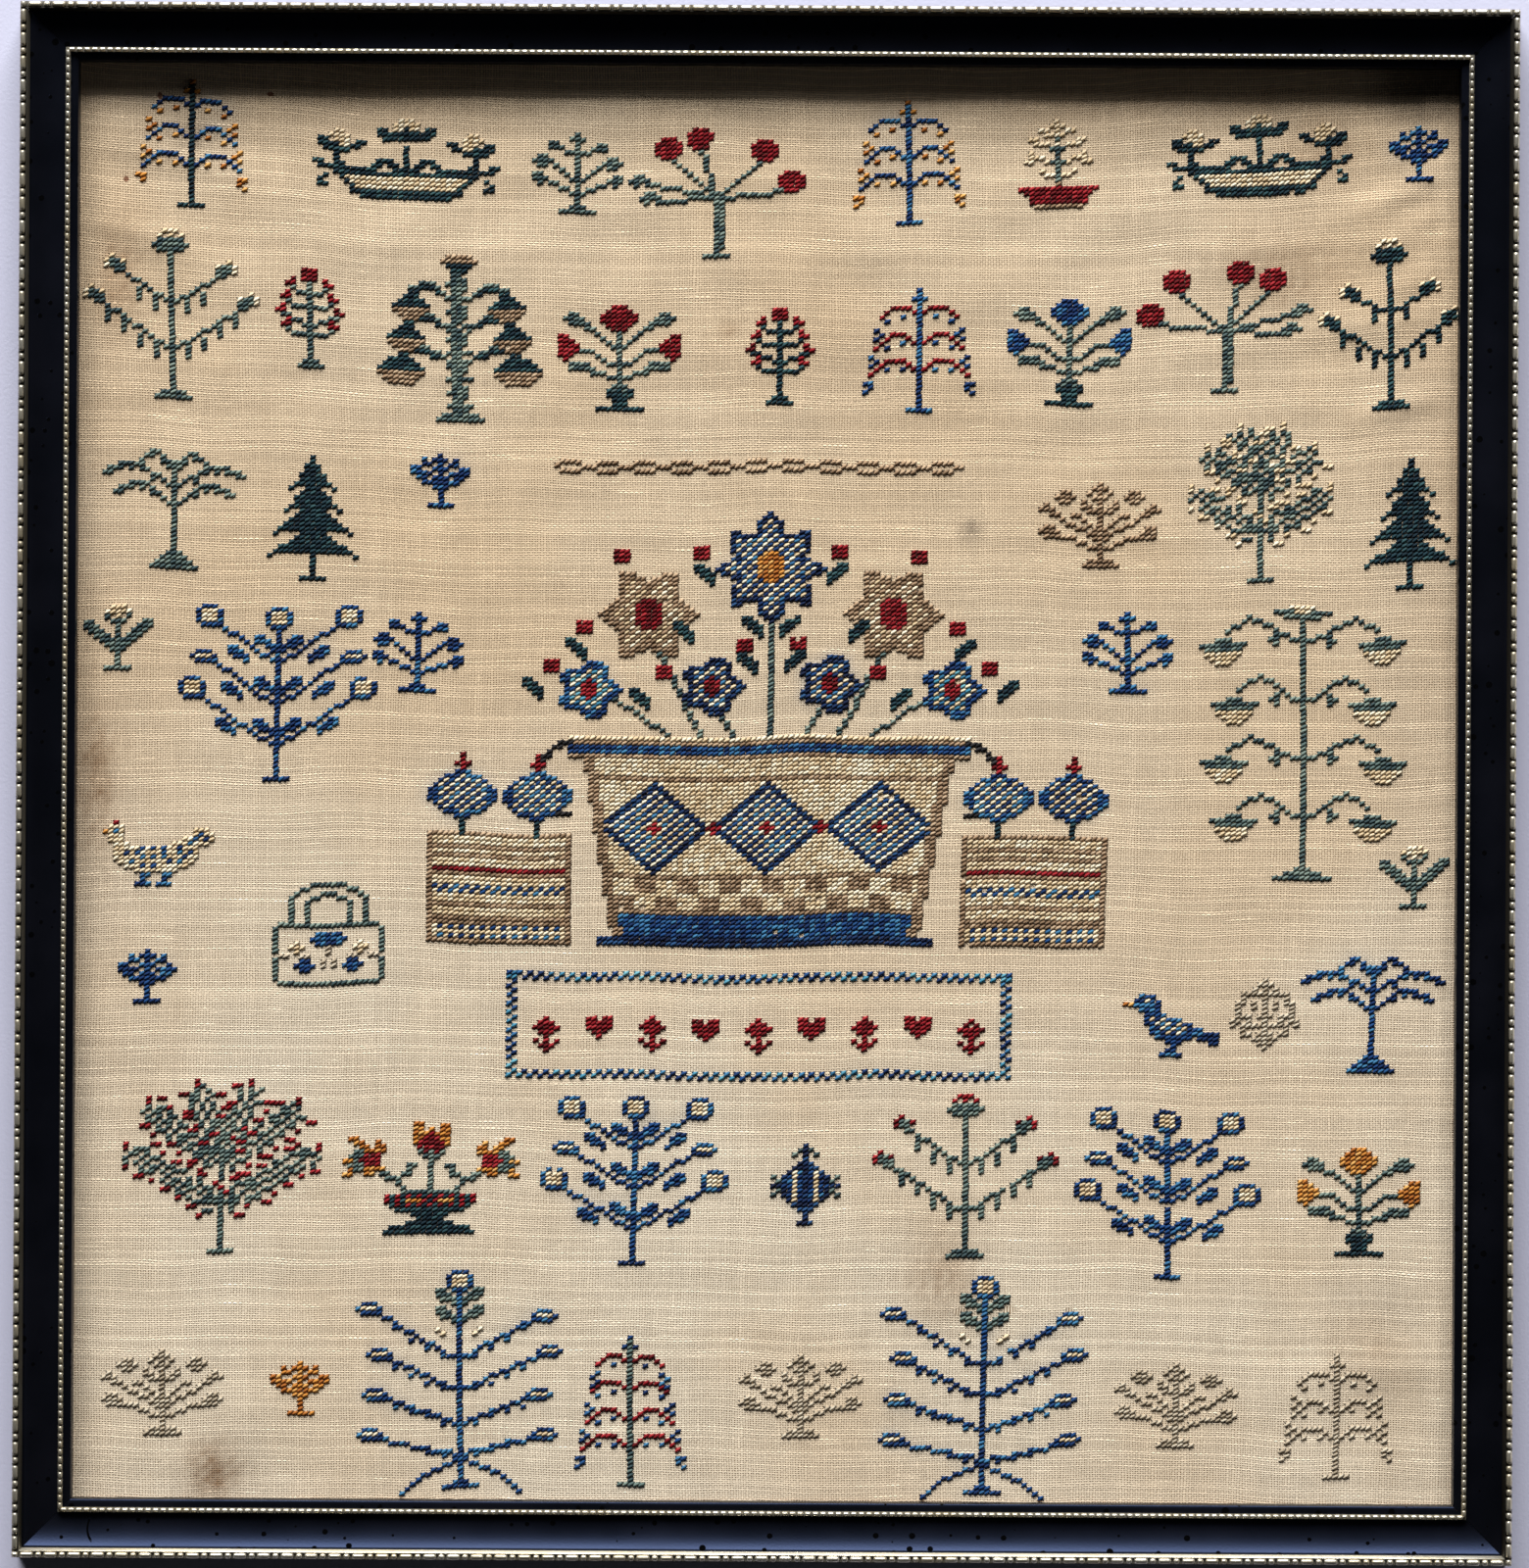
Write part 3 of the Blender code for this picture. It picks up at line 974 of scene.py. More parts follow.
def bell(column, row, cap, cup, half=3):
    """A hanging flower: a dark cap that spreads, over a paler cup that closes."""
    for up, wide, thread in ((0, half - 2, cap), (-1, half - 1, cap), (-2, half, cap), (-3, half, cup)):
        band(row + up, column - wide, column + wide, thread)
    band(row - 4, column - half + 1, column + half - 1, cup)
    band(row - 5, column - half + 2, column + half - 2, cup)


def ring_tree(column, row, levels, reach, stem, heart):
    """A straight trunk with tufts, and pairs of rising branches with ring leaves at their tips."""
    gap = 9
    top = row + 3 + gap * levels
    run((column, row), (column, top), stem)
    for level in range(levels):
        start = row + 5 + gap * level
        length = reach - 2 * (level % 2) - (3 if level == levels - 1 else 0)
        for hand in (-1, 1):
            tip = (column + hand * length, start + round(0.8 * length))
            run((column, start), tip, stem)
            if level % 2:
                loop(tip[0] + 2 * hand, tip[1] + 1, stem, heart)
            else:
                ring(tip[0] + 2 * hand, tip[1] + 2, stem, heart)
            fork = (column + hand * (length // 2 + 1), start + round(0.4 * length))
            leaf_tuft(fork[0], fork[1] - 3, hand, stem)
        leaf_tuft(column + 1, start + 3, 1, stem)
        leaf_tuft(column - 1, start + 3, -1, stem)
    ring(column, top + 3, stem, heart)
    mirrored(SMALL_FOOT, column, row - 2, {"g": stem})


def feather_tree(column, row, levels, reach, stem, heart, leaf):
    """Long straight branches in pairs, a small loop at each end, and roots that spread at the foot."""
    gap = 7
    top = row + 8 + gap * levels
    run((column, row), (column, top + 6), stem)
    for level in range(levels):
        start = row + 5 + gap * level
        for hand in (-1, 1):
            length = reach - (level + (hand > 0)) % 3
            tip = (column + hand * length, start + round((0.30 + 0.14 * level) * length))
            run((column, start), tip, stem)
            for step in range(3, length, 3):
                put(column + hand * step, start + round((0.30 + 0.14 * level) * step) - 1, stem)
            loop(tip[0] + 2 * hand, tip[1] + 1, stem, heart)
    for hand in (-1, 1):
        run((column, row + 4), (column + hand * 7, row + 1), stem)
        run((column + hand * 7, row + 1), (column + hand * 11, row - 3), stem)
        leaf_tuft(column + hand, top - 1, hand, leaf)
        leaf_tuft(column + hand, top + 3, hand, leaf)
        put(column + hand * 4, top - 3, heart)
        put(column + hand * 3, top - 4, heart)
    ring(column, top + 8, stem, heart)
    mirrored(("gg", "gggg"), column, row - 2, {"g": stem})


def thick_branch(start, end, leaf, bud, every=3):
    """A branch set with leaves on both sides and buds outside them."""
    length = math.dist(start, end)
    ahead_x, ahead_y = (end[0] - start[0]) / length, (end[1] - start[1]) / length
    for step in range(1, round(length) + 1):
        x, y = start[0] + ahead_x * step, start[1] + ahead_y * step
        put(round(x), round(y), leaf)
        for hand in (-1, 1):
            budding = (step + hand) % every == 0
            off = 2.2 if budding else 1.5
            put(round(x - hand * ahead_y * off), round(y + hand * ahead_x * off), leaf)
            if budding:
                bud_x, bud_y = round(x - hand * ahead_y * 3.3), round(y + hand * ahead_x * 3.3)
                put(bud_x, bud_y, bud)
                if step % 2:
                    put(bud_x + 1, bud_y, bud)
    for up in (1, 2):
        put(round(end[0] + ahead_x), round(end[1] + up), bud)


def berry_bush(column, row, leaf, bud, reach):
    """A bush of thick leafy branches with berries all along them."""
    run((column, row - 8), (column, row + 12), leaf)
    for start, across, up in ((0, reach, 0.72 * reach), (9, 0.8 * reach, 0.74 * reach)):
        for hand in (-1, 1):
            thick_branch((column, row + start), (column + hand * across, row + start + up), leaf, bud)
    for hand in (-1, 1):
        tip = (column + hand * 0.3 * reach, row + 0.75 * reach + 13)
        thick_branch((column, row + 12), tip, leaf, bud, 4)
    mirrored(SMALL_FOOT, column, row - 10, {"g": leaf})


def willow(column, row, stem, cap, cup, reach):
    """A thick ragged trunk with branches that arch over and hang, a bell at the end of each."""
    for up in range(30):
        half = 1 if up % 3 else 2
        band(row + up, column - half, column + half - up % 2, stem)
    for level, rise in enumerate((8, 15, 22)):
        length = reach - level
        for hand in (-1, 1):
            for across in range(2, length + 1):
                up = round(5.0 * math.sin(2.3 * across / length))
                put(column + hand * across, row + rise + up, stem)
                if across > 3:
                    put(column + hand * across, row + rise + up - 1, cap)
            bell(column + hand * length, row + rise + 2, cap, cup, 3 if level else 4)
    mirrored(("eee", "eeee", "ggg", "gg"), column, row + 30, {"e": cup, "g": cap})
    mirrored(("gg", "gggg", "ggggg"), column, row - 3, {"g": stem})


def hanging_leaf_tree(column, row, stem, bud, reach):
    """Straight rising branches with small leaves that hang below them and a bud at each tip."""
    run((column, row), (column, row + 29), stem)
    for start, length in ((7, reach), (17, reach - 4)):
        for hand in (-1, 1):
            tip = (column + hand * length, row + start + round(0.75 * length))
            run((column, row + start), tip, stem)
            for step in range(3, length, 3):
                below = row + start + round(0.75 * step)
                run((column + hand * step, below - 1), (column + hand * step, below - 3), stem)
            stamp(("..b.", "bssb", "sssb", "ss.."), tip[0], tip[1], hand, {"b": bud, "s": stem})
    mirrored(("ee", "e.e", "ggg", "gggg", "ggg"), column, row + 29, {"e": bud, "g": stem})
    mirrored(("g", "ggg", "gggg"), column, row - 3, {"g": stem})


def weeping_tree(column, row, levels, reach, stem, arch, berry):
    """Arching pairs of branches with berries that hang from them."""
    gap = 6
    top = row + 6 + gap * levels
    run((column, row), (column, top), stem)
    for level in range(levels):
        start = row + 6 + gap * level
        length = reach - level
        for hand in (-1, 1):
            for across in range(1, length + 1):
                up = round(3.4 * math.sin(math.pi * across / (length + 1)) + 0.5 - 0.18 * across)
                put(column + hand * across, start + up, arch)
                if across % 3 == 0:
                    put(column + hand * across, start + up - 2, berry)
            for across, down in ((length + 1, 2), (length, 3), (length + 1, 4)):
                put(column + hand * across, start - down, berry)
    for across, up in ((-1, -1), (1, -1), (0, 1)):
        put(column + across, top + up, berry)
    mirrored(SMALL_FOOT, column, row - 2, {"g": stem})


def fir(column, row, tiers, thread):
    top = row + 4 + 5 * tiers
    run((column, row), (column, top + 1), thread)
    for tier in range(tiers):
        base = top - 5 * (tier + 1)
        widest = 2 + round(1.25 * (tier + 1))
        for up in range(5):
            half = max(0, round(widest * (1 - up / 5.5)))
            band(base + up, column - half, column + half, thread)
        put(column - widest - 1, base - 1, thread)
        put(column + widest + 1, base - 1, thread)
    mirrored(SMALL_FOOT, column, row - 2, {"g": thread})


def bud_bush(column, row, stem, bud):
    """A small upright bush with a bud at the end of each short branch."""
    run((column, row), (column, row + 15), stem)
    for level in range(4):
        start = row + 3 + 3 * level
        length = 5 - abs(level - 1)
        for hand in (-1, 1):
            tip = (column + hand * length, start + 2)
            run((column, start), tip, stem)
            for across, up in ((0, 1), (hand, 1), (0, 2)):
                put(tip[0] + across, tip[1] + up, bud)
    ball(column, row + 17, bud, 1)
    mirrored(("g", "gg", "ggg"), column, row - 3, {"g": stem})


def ball_tree(column, row, hand, stem, fruit):
    """A trunk that forks into six branches, four with a round fruit and two with leaves."""
    for across in (0, 1):
        run((column + across, row), (column + across, row + 11), stem)
    top = (column, row + 11)
    for across, up in ((-9, 12), (9, 12), (14, 5), (-3, 14)):
        tip = (column + hand * across, row + 8 + up)
        run(top, tip, stem)
        ball(tip[0], tip[1] + 2, fruit, 2)
    for across, up in ((-13, 6), (-11, 2)):
        tip = (column + hand * across, row + 8 + up)
        run(top, tip, stem)
        stamp((".ss.", "ssss", ".s.."), tip[0] - (3 if hand > 0 else 0), tip[1], 1, {"s": stem})
    mirrored(("g", "ggg"), column, row - 2, {"g": stem})


# Charts, drawn from the top down. The bird and the hen are whole, and the others are half a motif, from
# its middle column outwards. A dot is a place with no cross
RED_FLOWER_VASE = """
rr
rrr
rrrr....ss
rrrr...ssss
rrr...ssss
rr...ss
s...s
s..s......rr
s.s......rrr
ss......rrrr
s....sssrrrr
s...s....rrr
s..s......r
sss...ssss
s....sssss
s..sss
sss
s
ss
gsg
ggg
gg
gg
ggggg
""".split()
FLOWER_BASKET = """
ee
eee
gee.gg
gggggg......ee
ggggg......eeee
g.......gg.eee.gg
g........ggeegggg
g..........ggggg
g............g
g..ggg.......g
g.gg.gg.....gg..gg
ggg...ggggggggggg
gggggggggggggg
eeeeeeeeeeeeg..g
eeeeeeeeeeeg....g
eeeeeeeeeeg....gg
ggggggggggg
ggggggggg
""".split()
PLANT_IN_POT = """
e
ee
e.ee
eee
s...ee
e.eee
ss
s....e
s..eee
sse..ee
s
s..e
see
s
d
rrrrrrrr
rrrrrrr
rrrrrr
rrrrrr
ddddd
""".split()
TULIP_BOWL = """
..oo
o.oo
rooo
rroo..........oo
rrro......o..oo
rrr......oo.oo
srs......ooooss
ss........rrrsss
s.........rrrrsoo
s..ss.....rrrsss
s...s....oooosso
s...ss..ss.oo..oo
s.....sss
s.....s
s....s
ssssss
rgrgrgrgr
grooogrgr
rgrgrgrg
ggggggg
gggg
ggg
ggggg
gggggggg
ggggggggg
""".split()
SPRIG = """
b
bb
b...bb
b..bbb
bbb
b.....bb
b....bbbb
b...b.bb
b..b
b.b....bb
bb....bbb
b...bb.b
b.bb
bb
b
b
bb
bbbb
""".split()
LITTLE_TREE = """
o
oo.o
o.oo
oo..oo
o.oooo
oo.oo
oooo
oo
o
o
o
ooo
""".split()
FADED_PLANT = """
f
ff
f.f...ff
ff...ffff
f..f..ff
f.ff......f
fff......fff
f...ff..ff
f..f...f
f.f..ff
ff.ff....ff
fff.....ffff
ff...ffffff
f..ff
fff
f
f
fff
ffff
""".split()
BIRD = """
.....bbb
....bbebb
..oobbbbb
.....bbbb
......bbbb
......bebebbb
......bbebebebb
.......bbebebebbb
.......bbbebebbbbbbb
........bbbbbbb.bbbb
..........bbb.....bb
...........b
..........bb
.........bbbb
""".split()
HEN = """
..r
.eee
oebe.............eee
.eee............eebee
.eee...........eebebe
..eee........eeebeee
..eeeeebebebeebeee
..eebebeeeebeebebe
..eeeeebebebeeebee
...eebeeeeeebebee
....eeebebeeeeee
......eeeeeeee
.......bb..bb
.......b...b
......bbb.bbb
""".split()
WING_INSECT = """
n
ns
n.s
n
nn
nnn
nben
nbebn.s
nbebns
nbebbnn
nbebns
nbebn.s
nben
nnn
nn
n
n
nn
""".split()
HANDLED_BASKET = """
ssss
....ss
ss....s
..ss...s
....s..s
....s..s
....s..s
....s..s
....s..s
ssssssssss
..........s
bbb.......s
bbbb......s
bbb...e...s
f....eee..s
f.....e...s
....ff..ff
.f..bb....s
.f.bbbb...s
....bb....s
..........s
..........s
ssssssssss
""".split()
POT_OF_LEAVES = """
f
ff
f.f
fffff
f...f
f.f.ff
f.f..f
f....f
ff.fff
f..f.ff
fffff.f
f...f
ff.ff
fff
ff
f
""".split()
TULIP = """
ee
eee
e.s
ss...ss
s...sss
s..sss
s.sss
ssss
sss
ss
s
s
s
sss
""".split()


def bell_tree(column, row, stem, flower):
    """A tall thin tree whose side branches rise, bend over and end in hanging bells with two petals."""
    run((column, row), (column, row + 55), stem)
    for level, reach in enumerate((12, 14, 12, 14)):
        start = row + 9 + 13 * level
        for hand in (-1, 1):
            bend = (column + hand * (reach - 4), start + 6)
            run((column, start), bend, stem)
            run(bend, (column + hand * reach, start + 3), stem)
            run((column + hand * 5, start + 2), (column + hand * 5, start), stem)
            put(column + hand * 6, start + 1, stem)
            centre = column + hand * (reach + 1)
            bell(centre, start + 1, stem, flower)
            for side in (-1, 1):
                band(start, centre + side * 3 - 1, centre + side * 3 + 1, stem)
    mirrored(("s", "ss", "ssss", "ssssss"), column, row - 4, {"s": stem})
    mirrored(("eee...", "eessss", "ssss.."), column, row + 54, {"s": stem, "e": flower})


def palm(column, row, stem, leaf):
    """Long arching leaves from the head of a short trunk, on a triangular foot."""
    run((column, row), (column, row + 16), stem)
    for level, reach in ((16, 13), (12, 11), (19, 6)):
        for hand in (-1, 1):
            for across in range(1, reach + 1):
                up = round(5.0 * math.sin(math.pi * across / (reach * 1.25)))
                put(column + hand * across, row + level - 4 + up, leaf)
                if across % 2 == 0 and across > 3:
                    put(column + hand * across, row + level - 5 + up, leaf)
    mirrored(("bbb", "b.."), column, row + 17, {"b": stem})
    mirrored(("b", "bb", "bbb", "bbbb", "bbbbb"), column, row - 5, {"b": stem})


def chain(left, right, row, thread):
    """A row of long links with a cross between each two."""
    column = left
    while column + 6 <= right:
        for side in (-1, 1):
            band(row + side, column + 1, column + 4, thread)
        for across in (0, 5, 6):
            put(column + across, row, thread)
        column += 7


def zigzag_panel(left, right, bottom, top, thread, worn_thread):
    """A long panel with a border two crosses wide, worked as a zigzag."""
    for column in range(left, right + 1):
        for row in (top - column % 2, bottom + column % 2):
            put(column, row, worn_thread if (column + 3 * row) % 13 < 5 else thread)
    for row in range(bottom, top + 1):
        for column in (left + row % 2, right - row % 2):
            put(column, row, worn_thread if row % 11 < 4 else thread)


def rosette(column, row, radius, petals, edge, petal, heart):
    """A round flower: petals from a wavy edge, an outline one or two crosses wide and a round heart."""
    for across in range(-radius - 1, radius + 2):
        for up in range(-radius - 2, radius + 3):
            away = math.hypot(across, 0.83 * up)
            angle = math.atan2(up, across + 0.001)
            rim = radius * (0.86 + 0.14 * math.cos(petals * angle))
            if away > rim:
                continue
            if away > rim - 1.6:
                put(column + across, row + up, edge)
            elif away < 0.3 * radius:
                put(column + across, row + up, heart)
            else:
                put(column + across, row + up, petal if (across + up) % 2 else "e")


# The row that the basket and its planters stand on
BASKET_FLOOR = -36


def planter(column):
    """A striped box with two round bushes in it."""
    left = column - 13
    right = column + 13
    stripes = "dbebddeedeebbeedreededee"
    rim = BASKET_FLOOR + len(stripes)
    for up, mark in enumerate(stripes):
        row = BASKET_FLOOR + up
        band(row, left, right, mark)
        if up in (1, 3, 11, 12):
            for across in range(left, right + 1):
                if (across + up) % 2:
                    put(across, row, "e")
        put(left, row, "d")
        put(right, row, "d")
    band(rim, left, right, "d")
    for middle in (column - 7, column + 7):
        run((middle, rim), (middle, rim + 5), "g")
        for across in range(-6, 7):
            for up in range(-5, 6):
                away = across**2 / 36 + up**2 / 25
                if away <= 1.05:
                    mark = "b" if (across + up) % 2 or away > 0.72 else "e"
                    put(middle + across, rim + 9 + up, mark)
        mirrored(("r", "r", "rr", "r"), middle, rim + 15)


def lozenge_mark(across, up):
    """The thread at a place in a lozenge: a dark outline, a white line, a checked field and a heart."""
    away = abs(across) + abs(up)
    if away >= 9:
        return "n"
    if away == 8:
        return "w"
    if away <= 1:
        return "r"
    return "b" if (across + up) % 2 else "e"


def basket():
    """A tall striped basket with a row of lozenges, a wide rim and two round handles."""
    height = 42
    for up in range(height):
        half = 28 + round(6 * up / height)
        band(BASKET_FLOOR + up, -half, half, "e")
        for edge in (0, 1):
            put(-half + edge, BASKET_FLOOR + up, "d")
            put(half - edge, BASKET_FLOOR + up, "d")
    for up in (0, 1):
        band(BASKET_FLOOR + up, -31, 31, "n")
    for up in (2, 3, 4, 5, 6, 7, 15, 37):
        half = 26 + round(6 * up / height)
        band(BASKET_FLOOR + up, -half, half, "b" if up < 7 else "d")
    for up in range(8, 15):
        half = 26 + round(6 * up / height)
        for across in range(-half, half + 1):
            block = (across // 4 + (up - 8) // 4) % 2
            put(across, BASKET_FLOOR + up, "d" if block and up != 11 else "e")
    middle = BASKET_FLOOR + 26
    for lozenge in (-21, 0, 21):
        for across in range(-10, 11):
            for up in range(abs(across) - 10, 11 - abs(across)):
                put(lozenge + across, middle + up, lozenge_mark(across, up))
    for side in (-31, -10, 10, 31):
        for across, up in ((0, 0), (1, 0), (-1, 0), (0, 1), (0, -1)):
            put(side + across, middle + up, "r" if abs(side) == 10 else "d")
    for up, mark in enumerate("dbbde"):
        band(BASKET_FLOOR + height + up, -37, 37, mark)
    for hand in (-1, 1):
        for step in range(0, 181, 4):
            angle = math.radians(step - 90)
            across = hand * (37 + 6 * math.cos(angle))
            put(round(across), round(BASKET_FLOOR + height - 5 + 8 * math.sin(angle)), "k")


def bouquet(foot):
    """Flowers on stems that fan out of the basket, with leaves and berries between them."""
    leaf = ("..gg", ".ggg", "ggg.", "gg..", "g...")
    for hand in (-1, 1):
        for across, tall in ((0, 34), (12, 12), (24, 26), (34, 12)):
            run((round(hand * across * 0.55), foot), (hand * across, foot + tall), "s")
    for across, tall, size, petals, edge, petal, heart in (
        (0, 37, 10, 8, "n", "b", "o"),
        (23, 27, 9, 6, "d", "d", "r"),
        (11, 11, 6, 5, "n", "b", "r"),
        (34, 10, 6, 5, "b", "t", "r"),
    ):
        for hand in (-1, 1):
            rosette(hand * across, foot + tall, size, petals, edge, petal, heart)
    for hand in (-1, 1):
        for across, tall in ((11, 34), (2, 22), (23, 6), (35, 17), (15, 21), (3, 14), (43, 8)):
            stamp(leaf, hand * across, foot + tall, hand)
        for across, tall in ((13, 41), (35, 24), (20, 14), (5, 20), (28, 40), (41, 15)):
            ball(hand * across, foot + tall, "r", 1)


basket()
bouquet(BASKET_FLOOR + 47)
for hand in (-1, 1):
    planter(hand * 50)

# Borders
chain(-40, 42, 71, "d")
zigzag_panel(-48, 46, -66, -43, "b", "t")
for place in range(-4, 5):
    column = -1 + 10 * place
    if place % 2:
        mirrored((".rr", "rrr", "rrr", "rr.", "r.."), column, -57)
    else:
        mirrored(("r..", "rr.", "rrr", "rr.", "r..", "s.s", "ss.", "s.."), column, -60, {"s": "r"})

# Spot motifs
weeping_tree(-108, 127, 3, 9, "g", "b", "o")
mirrored(FLOWER_BASKET, -68, 130)
mirrored(SPRIG, -36, 128, {"b": "s"})
ball_tree(-10, 120, 1, "s", "r")
weeping_tree(26, 128, 3, 9, "b", "b", "o")
mirrored(PLANT_IN_POT, 54, 130)
mirrored(FLOWER_BASKET, 92, 131)
mirrored(LITTLE_TREE, 122, 132, {"o": "b"})

hanging_leaf_tree(-112, 86, "s", "e", 13)
bud_bush(-86, 94, "s", "r")
willow(-58, 84, "s", "g", "d", 11)
mirrored(RED_FLOWER_VASE, -28, 84)
bud_bush(2, 88, "g", "r")
weeping_tree(28, 86, 3, 9, "b", "r", "b")
mirrored(RED_FLOWER_VASE, 56, 86, {"r": "b"})
ball_tree(85, 90, -1, "s", "r")
hanging_leaf_tree(116, 86, "g", "e", 10)

palm(-112, 51, "s", "s")
fir(-86, 46, 4, "g")
mirrored(LITTLE_TREE, -62, 62, {"o": "b"})
mirrored(FADED_PLANT, 62, 50, {"f": "d"})
berry_bush(92, 56, "s", "e", 12)
fir(120, 46, 4, "g")

ring_tree(-92, 2, 3, 14, "b", "e")
mirrored(TULIP, -122, 24)
mirrored(SPRIG, -66, 20)
stamp(HEN, -124, -24)
mirrored(HANDLED_BASKET, -82, -46)
mirrored(LITTLE_TREE, -116, -50, {"o": "b"})

bell_tree(100, -16, "s", "e")
mirrored(SPRIG, 67, 22)
mirrored(TULIP, 121, -26)
stamp(BIRD, 66, -60)
mirrored(POT_OF_LEAVES, 94, -58)
palm(114, -58, "b", "b")

berry_bush(-101, -96, "s", "r", 17)
mirrored(TULIP_BOWL, -62, -102)
ring_tree(-24, -106, 3, 13, "b", "e")
mirrored(WING_INSECT, 8, -98)
hanging_leaf_tree(38, -103, "s", "r", 14)
ring_tree(76, -108, 3, 13, "b", "e")
mirrored(RED_FLOWER_VASE, 112, -104, {"r": "o"})

mirrored(FADED_PLANT, -112, -146)
mirrored(LITTLE_TREE, -86, -142)
feather_tree(-56, -157, 4, 15, "b", "e", "s")
weeping_tree(-24, -156, 4, 9, "s", "r", "b")
mirrored(FADED_PLANT, 8, -146)
feather_tree(42, -157, 4, 15, "b", "e", "s")
mirrored(FADED_PLANT, 78, -148)
weeping_tree(108, -152, 3, 9, "f", "f", "f")


def stitch_places(chart):
    """For each thread, where its crosses stand on the stretched cloth and how far each is turned."""
    random = np.random.default_rng(21)
    places = {thread: [] for thread in THREADS}
    cells = np.array(sorted(chart), dtype=float)
    x, y = cells[:, 0] * STITCH_WIDTH, cells[:, 1] * STITCH_HEIGHT
    real_x, real_y = pulled(x, y)
    beside_x, beside_y = pulled(x + 0.001, y)
    turn = np.arctan2(beside_y - real_y, beside_x - real_x)
    real_x = real_x + random.normal(0.0, STRAY_ACROSS, len(x))
    real_y = real_y + random.normal(0.0, STRAY_UP, len(x))
    height = linen_height(real_x, real_y)
    limit_x = 0.5 * frame_width - rail_width + UNDER_LIP
    limit_y = 0.5 * frame_height - rail_width + UNDER_LIP
    lost = random.random(len(x)) < LOST_SHARE
    for step, cell in enumerate(sorted(chart)):
        if not lost[step] and abs(real_x[step]) < limit_x and abs(real_y[step]) < limit_y:
            places[chart[cell]].append((real_x[step], real_y[step], height[step], turn[step]))
    return {thread: np.array(found) for thread, found in places.items() if found}


def thread_leg(tree, rise, crown, steps, width):
    """One leg of a cross: a bow of thread, thinner where it goes down into the cloth at both ends."""
    half_x = 0.55 * STITCH_WIDTH
    half_y = 0.44 * STITCH_HEIGHT * rise
    sunk = -0.00006 / FLATNESS
    values = {
        "Resolution": 12,
        "Start": (-half_x, -half_y, sunk),
        "Middle": (0.0, 0.0, 2.0 * crown / FLATNESS - sunk),
        "End": (half_x, half_y, sunk),
    }
    bow = made(tree, "GeometryNodeCurveQuadraticBezier", values)
    bow = made(tree, "GeometryNodeResampleCurve", {"Curve": bow, "Count": steps + 1})
    along = made(tree, "GeometryNodeSplineParameter", output="Factor")
    away = work_out("ABSOLUTE", work_out("MULTIPLY_ADD", along, 2.0, -1.0))
    full = 1.0 - away ** 2.0 * 0.38
    scale = full * (width * 0.5)
    bow = with_mark(bow, "sunk", away ** 3.0)
    ring = made(tree, "GeometryNodeCurvePrimitiveCircle", {"Resolution": 4, "Radius": 1.0})
    values = {"Curve": bow, "Profile Curve": ring, "Scale": scale, "Fill Caps": True}
    tube = made(tree, "GeometryNodeCurveToMesh", values)
    return made(tree, "GeometryNodeTransform", {"Geometry": tube, "Scale": (1.0, 1.0, FLATNESS)})


def crosses_tree():
    """Works one cross at each point that comes in, turned by the point's own "turn"."""
    kinds = {"Thread Width": "Float", "Seed": "Int", "Wool": "Material"}
    tree, given = start_tree("crosses", kinds)
    lower = thread_leg(tree, -1.0, LOWER_CROWN, 2, given["Thread Width"])
    upper = thread_leg(tree, 1.0, UPPER_CROWN, 3, given["Thread Width"])
    cross = joined(tree, (lower, upper))
    turn = stored_mark(tree, "turn")
    shake = random_between(tree, -0.13, 0.13, given["Seed"])
    turn = vector_of(tree, {"Z": turn + shake})
    turn = made(tree, "FunctionNodeEulerToRotation", {0: turn})
    size = random_between(tree, 0.90, 1.10, given["Seed"] + 1.0)
    values = {"Points": given["Geometry"], "Instance": cross, "Rotation": turn, "Scale": size}
    worked = made(tree, "GeometryNodeInstanceOnPoints", values)
    shade = random_between(tree, 0.0, 1.0, given["Seed"] + 2.0)
    worked = with_mark(worked, "shade", shade, "INSTANCE")
    worked = made(tree, "GeometryNodeRealizeInstances", {"Geometry": worked})
    return finish_tree(tree, worked, given["Wool"])


def dyed_thread(name, darkest, usual, lightest):
    material, tree, surface = start_material(name + "_thread", Roughness=0.86, Specular_IOR_Level=0.25)
    place = place_on(tree)
    patches = noise(place, 48.0, 3.0)
    fibre = noise(place, 3200.0, 2.0)
    shade = mark_on(tree, "shade")
    tone = work_out("MULTIPLY_ADD", shade, 0.44, patches * 0.56)
    dye = blend_colours(tree, share_of(tone, 0.34, 0.50), colour(*darkest), colour(*usual))
    dye = blend_colours(tree, share_of(tone, 0.52, 0.70), dye, colour(*lightest))
    # The ends of each leg, where it goes down into the linen, are darkened nearly to black: painted shade
    # in the holes of the weave.
    sunk = mark_on(tree, "sunk")
    shadow = share_of(sunk, 0.30, 0.95) * 0.9
    dye = blend_colours(tree, shadow, dye, colour(34, 26, 22))
    hairy = share_of(fibre, 0.45, 0.75)
    fuzz = blend_colours(tree, hairy, (0.82, 0.82, 0.82, 1.0), (1.1, 1.1, 1.1, 1.0))
    feed(surface, "Base Color", blend_colours(tree, 1.0, dye, fuzz, "MULTIPLY"))
    raise_surface(surface, fibre, 0.00005, 0.6)
    return material


def points_mesh(points):
    mesh = bpy.data.meshes.new("stitch_points")
    mesh.from_pydata([tuple(row) for row in points[:, :3]], [], [])
    turns = mesh.attributes.new("turn", "FLOAT", "POINT")
    turns.data.foreach_set("value", points[:, 3].astype(np.float32))
    return mesh


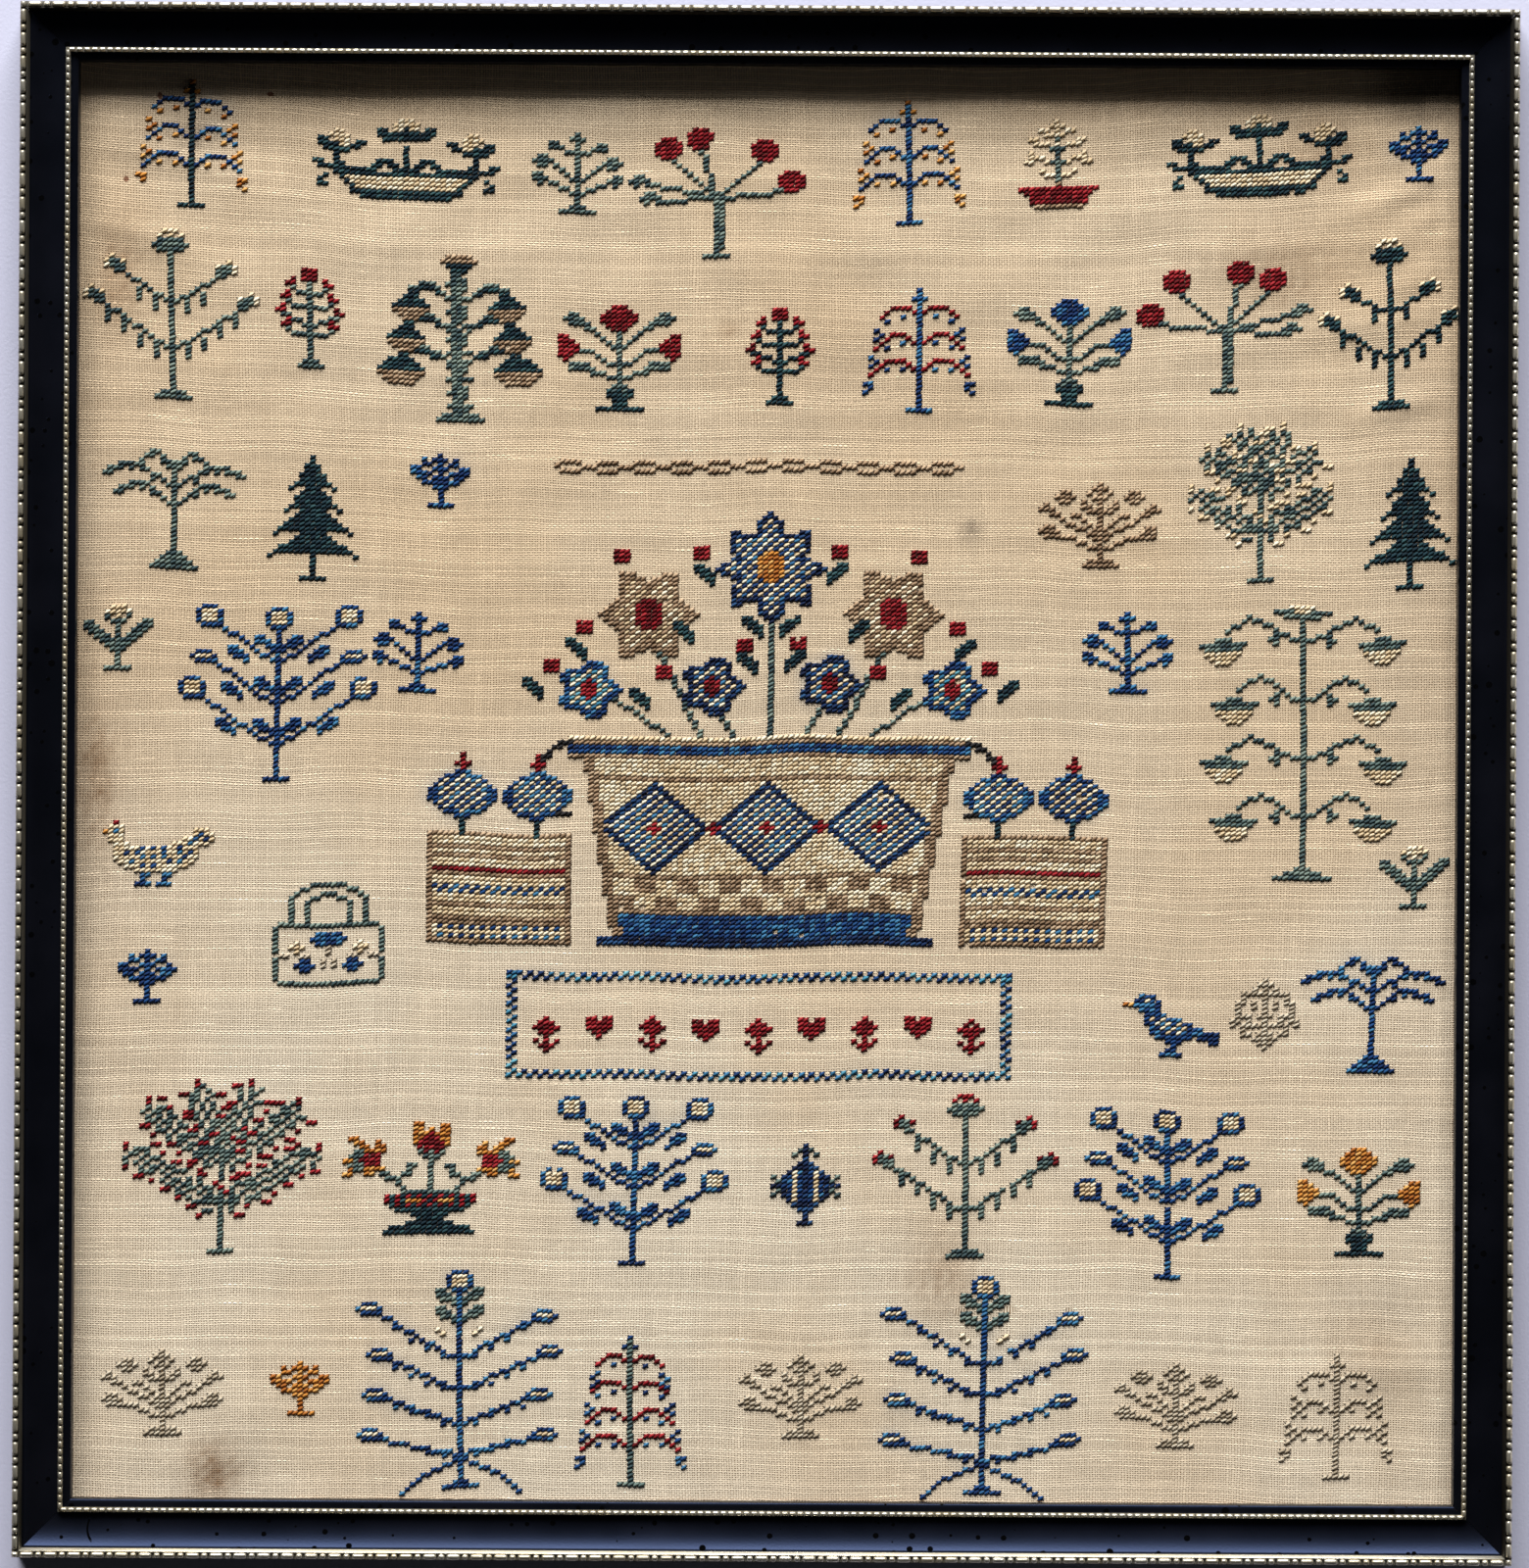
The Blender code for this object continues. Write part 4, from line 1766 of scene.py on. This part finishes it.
places = stitch_places(chart)
crosses = crosses_tree()
for seed, (thread, points) in enumerate(places.items()):
    name = THREADS[thread][0]
    wool = dyed_thread(*THREADS[thread])
    width = 0.85 * THREAD_WIDTH if thread == "f" else THREAD_WIDTH
    inputs = {"Thread Width": width, "Seed": 10 * seed, "Wool": wool}
    worked = made_by_nodes(points_mesh(points), crosses, inputs)
    finish_piece("stitches_" + name, worked, 0, sharp=0)

bleeding = np.concatenate([places[thread] for thread in BLUES])
cloth_mesh = linen_mesh(bleeding)
cloth_mesh.materials.append(linen_cloth())
cloth = finish_piece("linen", cloth_mesh, 0, ["sampler_linen"], sharp=60.0)


# Floor, light and camera
# The frame lies on a plain pale cloth. A large soft window light stands beyond its top edge, with a weak
# one above it that softens its shadows and a low weak one at the right. The camera looks straight down.
CAMERA_HEIGHT = 2.3545
LENS = 160.0
CAMERA_TURN = 0.33


def pale_cloth():
    material, tree, surface = start_material("pale_cloth", Roughness=0.9)
    place = place_on(tree)
    cloudy = noise(place, 8.0, 4.0)
    fine = noise(place, 900.0, 3.0)
    tone = blend_colours(tree, cloudy, colour(216, 214, 234), colour(226, 224, 242))
    feed(surface, "Base Color", tone)
    raise_surface(surface, fine, 0.0002, 0.4)
    return material


floor_mesh = bpy.data.meshes.new("floor")
floor_mesh.from_pydata([(-3, -3, 0), (3, -3, 0), (3, 3, 0), (-3, 3, 0)], [], [(0, 1, 2, 3)])
floor_mesh.materials.append(pale_cloth())
floor = new_object("floor", floor_mesh)
floor.location.z = -0.0002


def soft_light(name, width, height, energy, tint, place, tilt, turn):
    """A large plain lamp that faces along its own downward axis, tilted and turned towards the frame."""
    lamp = bpy.data.lights.new(name, "AREA")
    lamp.shape = "RECTANGLE"
    lamp.size = width
    lamp.size_y = height
    lamp.energy = energy
    lamp.color = tint
    lamp_object = new_object(name, lamp)
    lamp_object.location = place
    lamp_object.rotation_euler = (math.radians(tilt), 0.0, math.radians(turn))


soft_light("window", 5.0, 2.3, 708.0, (0.95, 0.975, 1.0), (-0.6, 4.85, 2.37), -64.0, 0.0)
soft_light("window_head", 5.0, 0.9, 22.0, (0.95, 0.975, 1.0), (-0.6, 4.04, 3.55), -49.0, 0.0)
soft_light("side_window", 1.2, 0.6, 2.6, (1.0, 0.98, 0.95), (1.6, -0.1, 0.30), 79.0, 90.0)

sky = bpy.data.worlds.new("sky")
sky.use_nodes = True
sky.node_tree.nodes["Background"].inputs["Color"].default_value = (0.86, 0.92, 1.0, 1.0)
sky.node_tree.nodes["Background"].inputs["Strength"].default_value = 0.009
bpy.context.scene.world = sky
bpy.context.scene.view_settings.view_transform = "Standard"

camera = bpy.data.cameras.new("camera")
camera.lens = LENS
camera.sensor_width = 36.0
camera_object = new_object("camera", camera)
camera_object.location = (-0.0005, -0.0002, CAMERA_HEIGHT)
camera_object.rotation_euler = (0.0, 0.0, math.radians(CAMERA_TURN))
bpy.context.scene.camera = camera_object
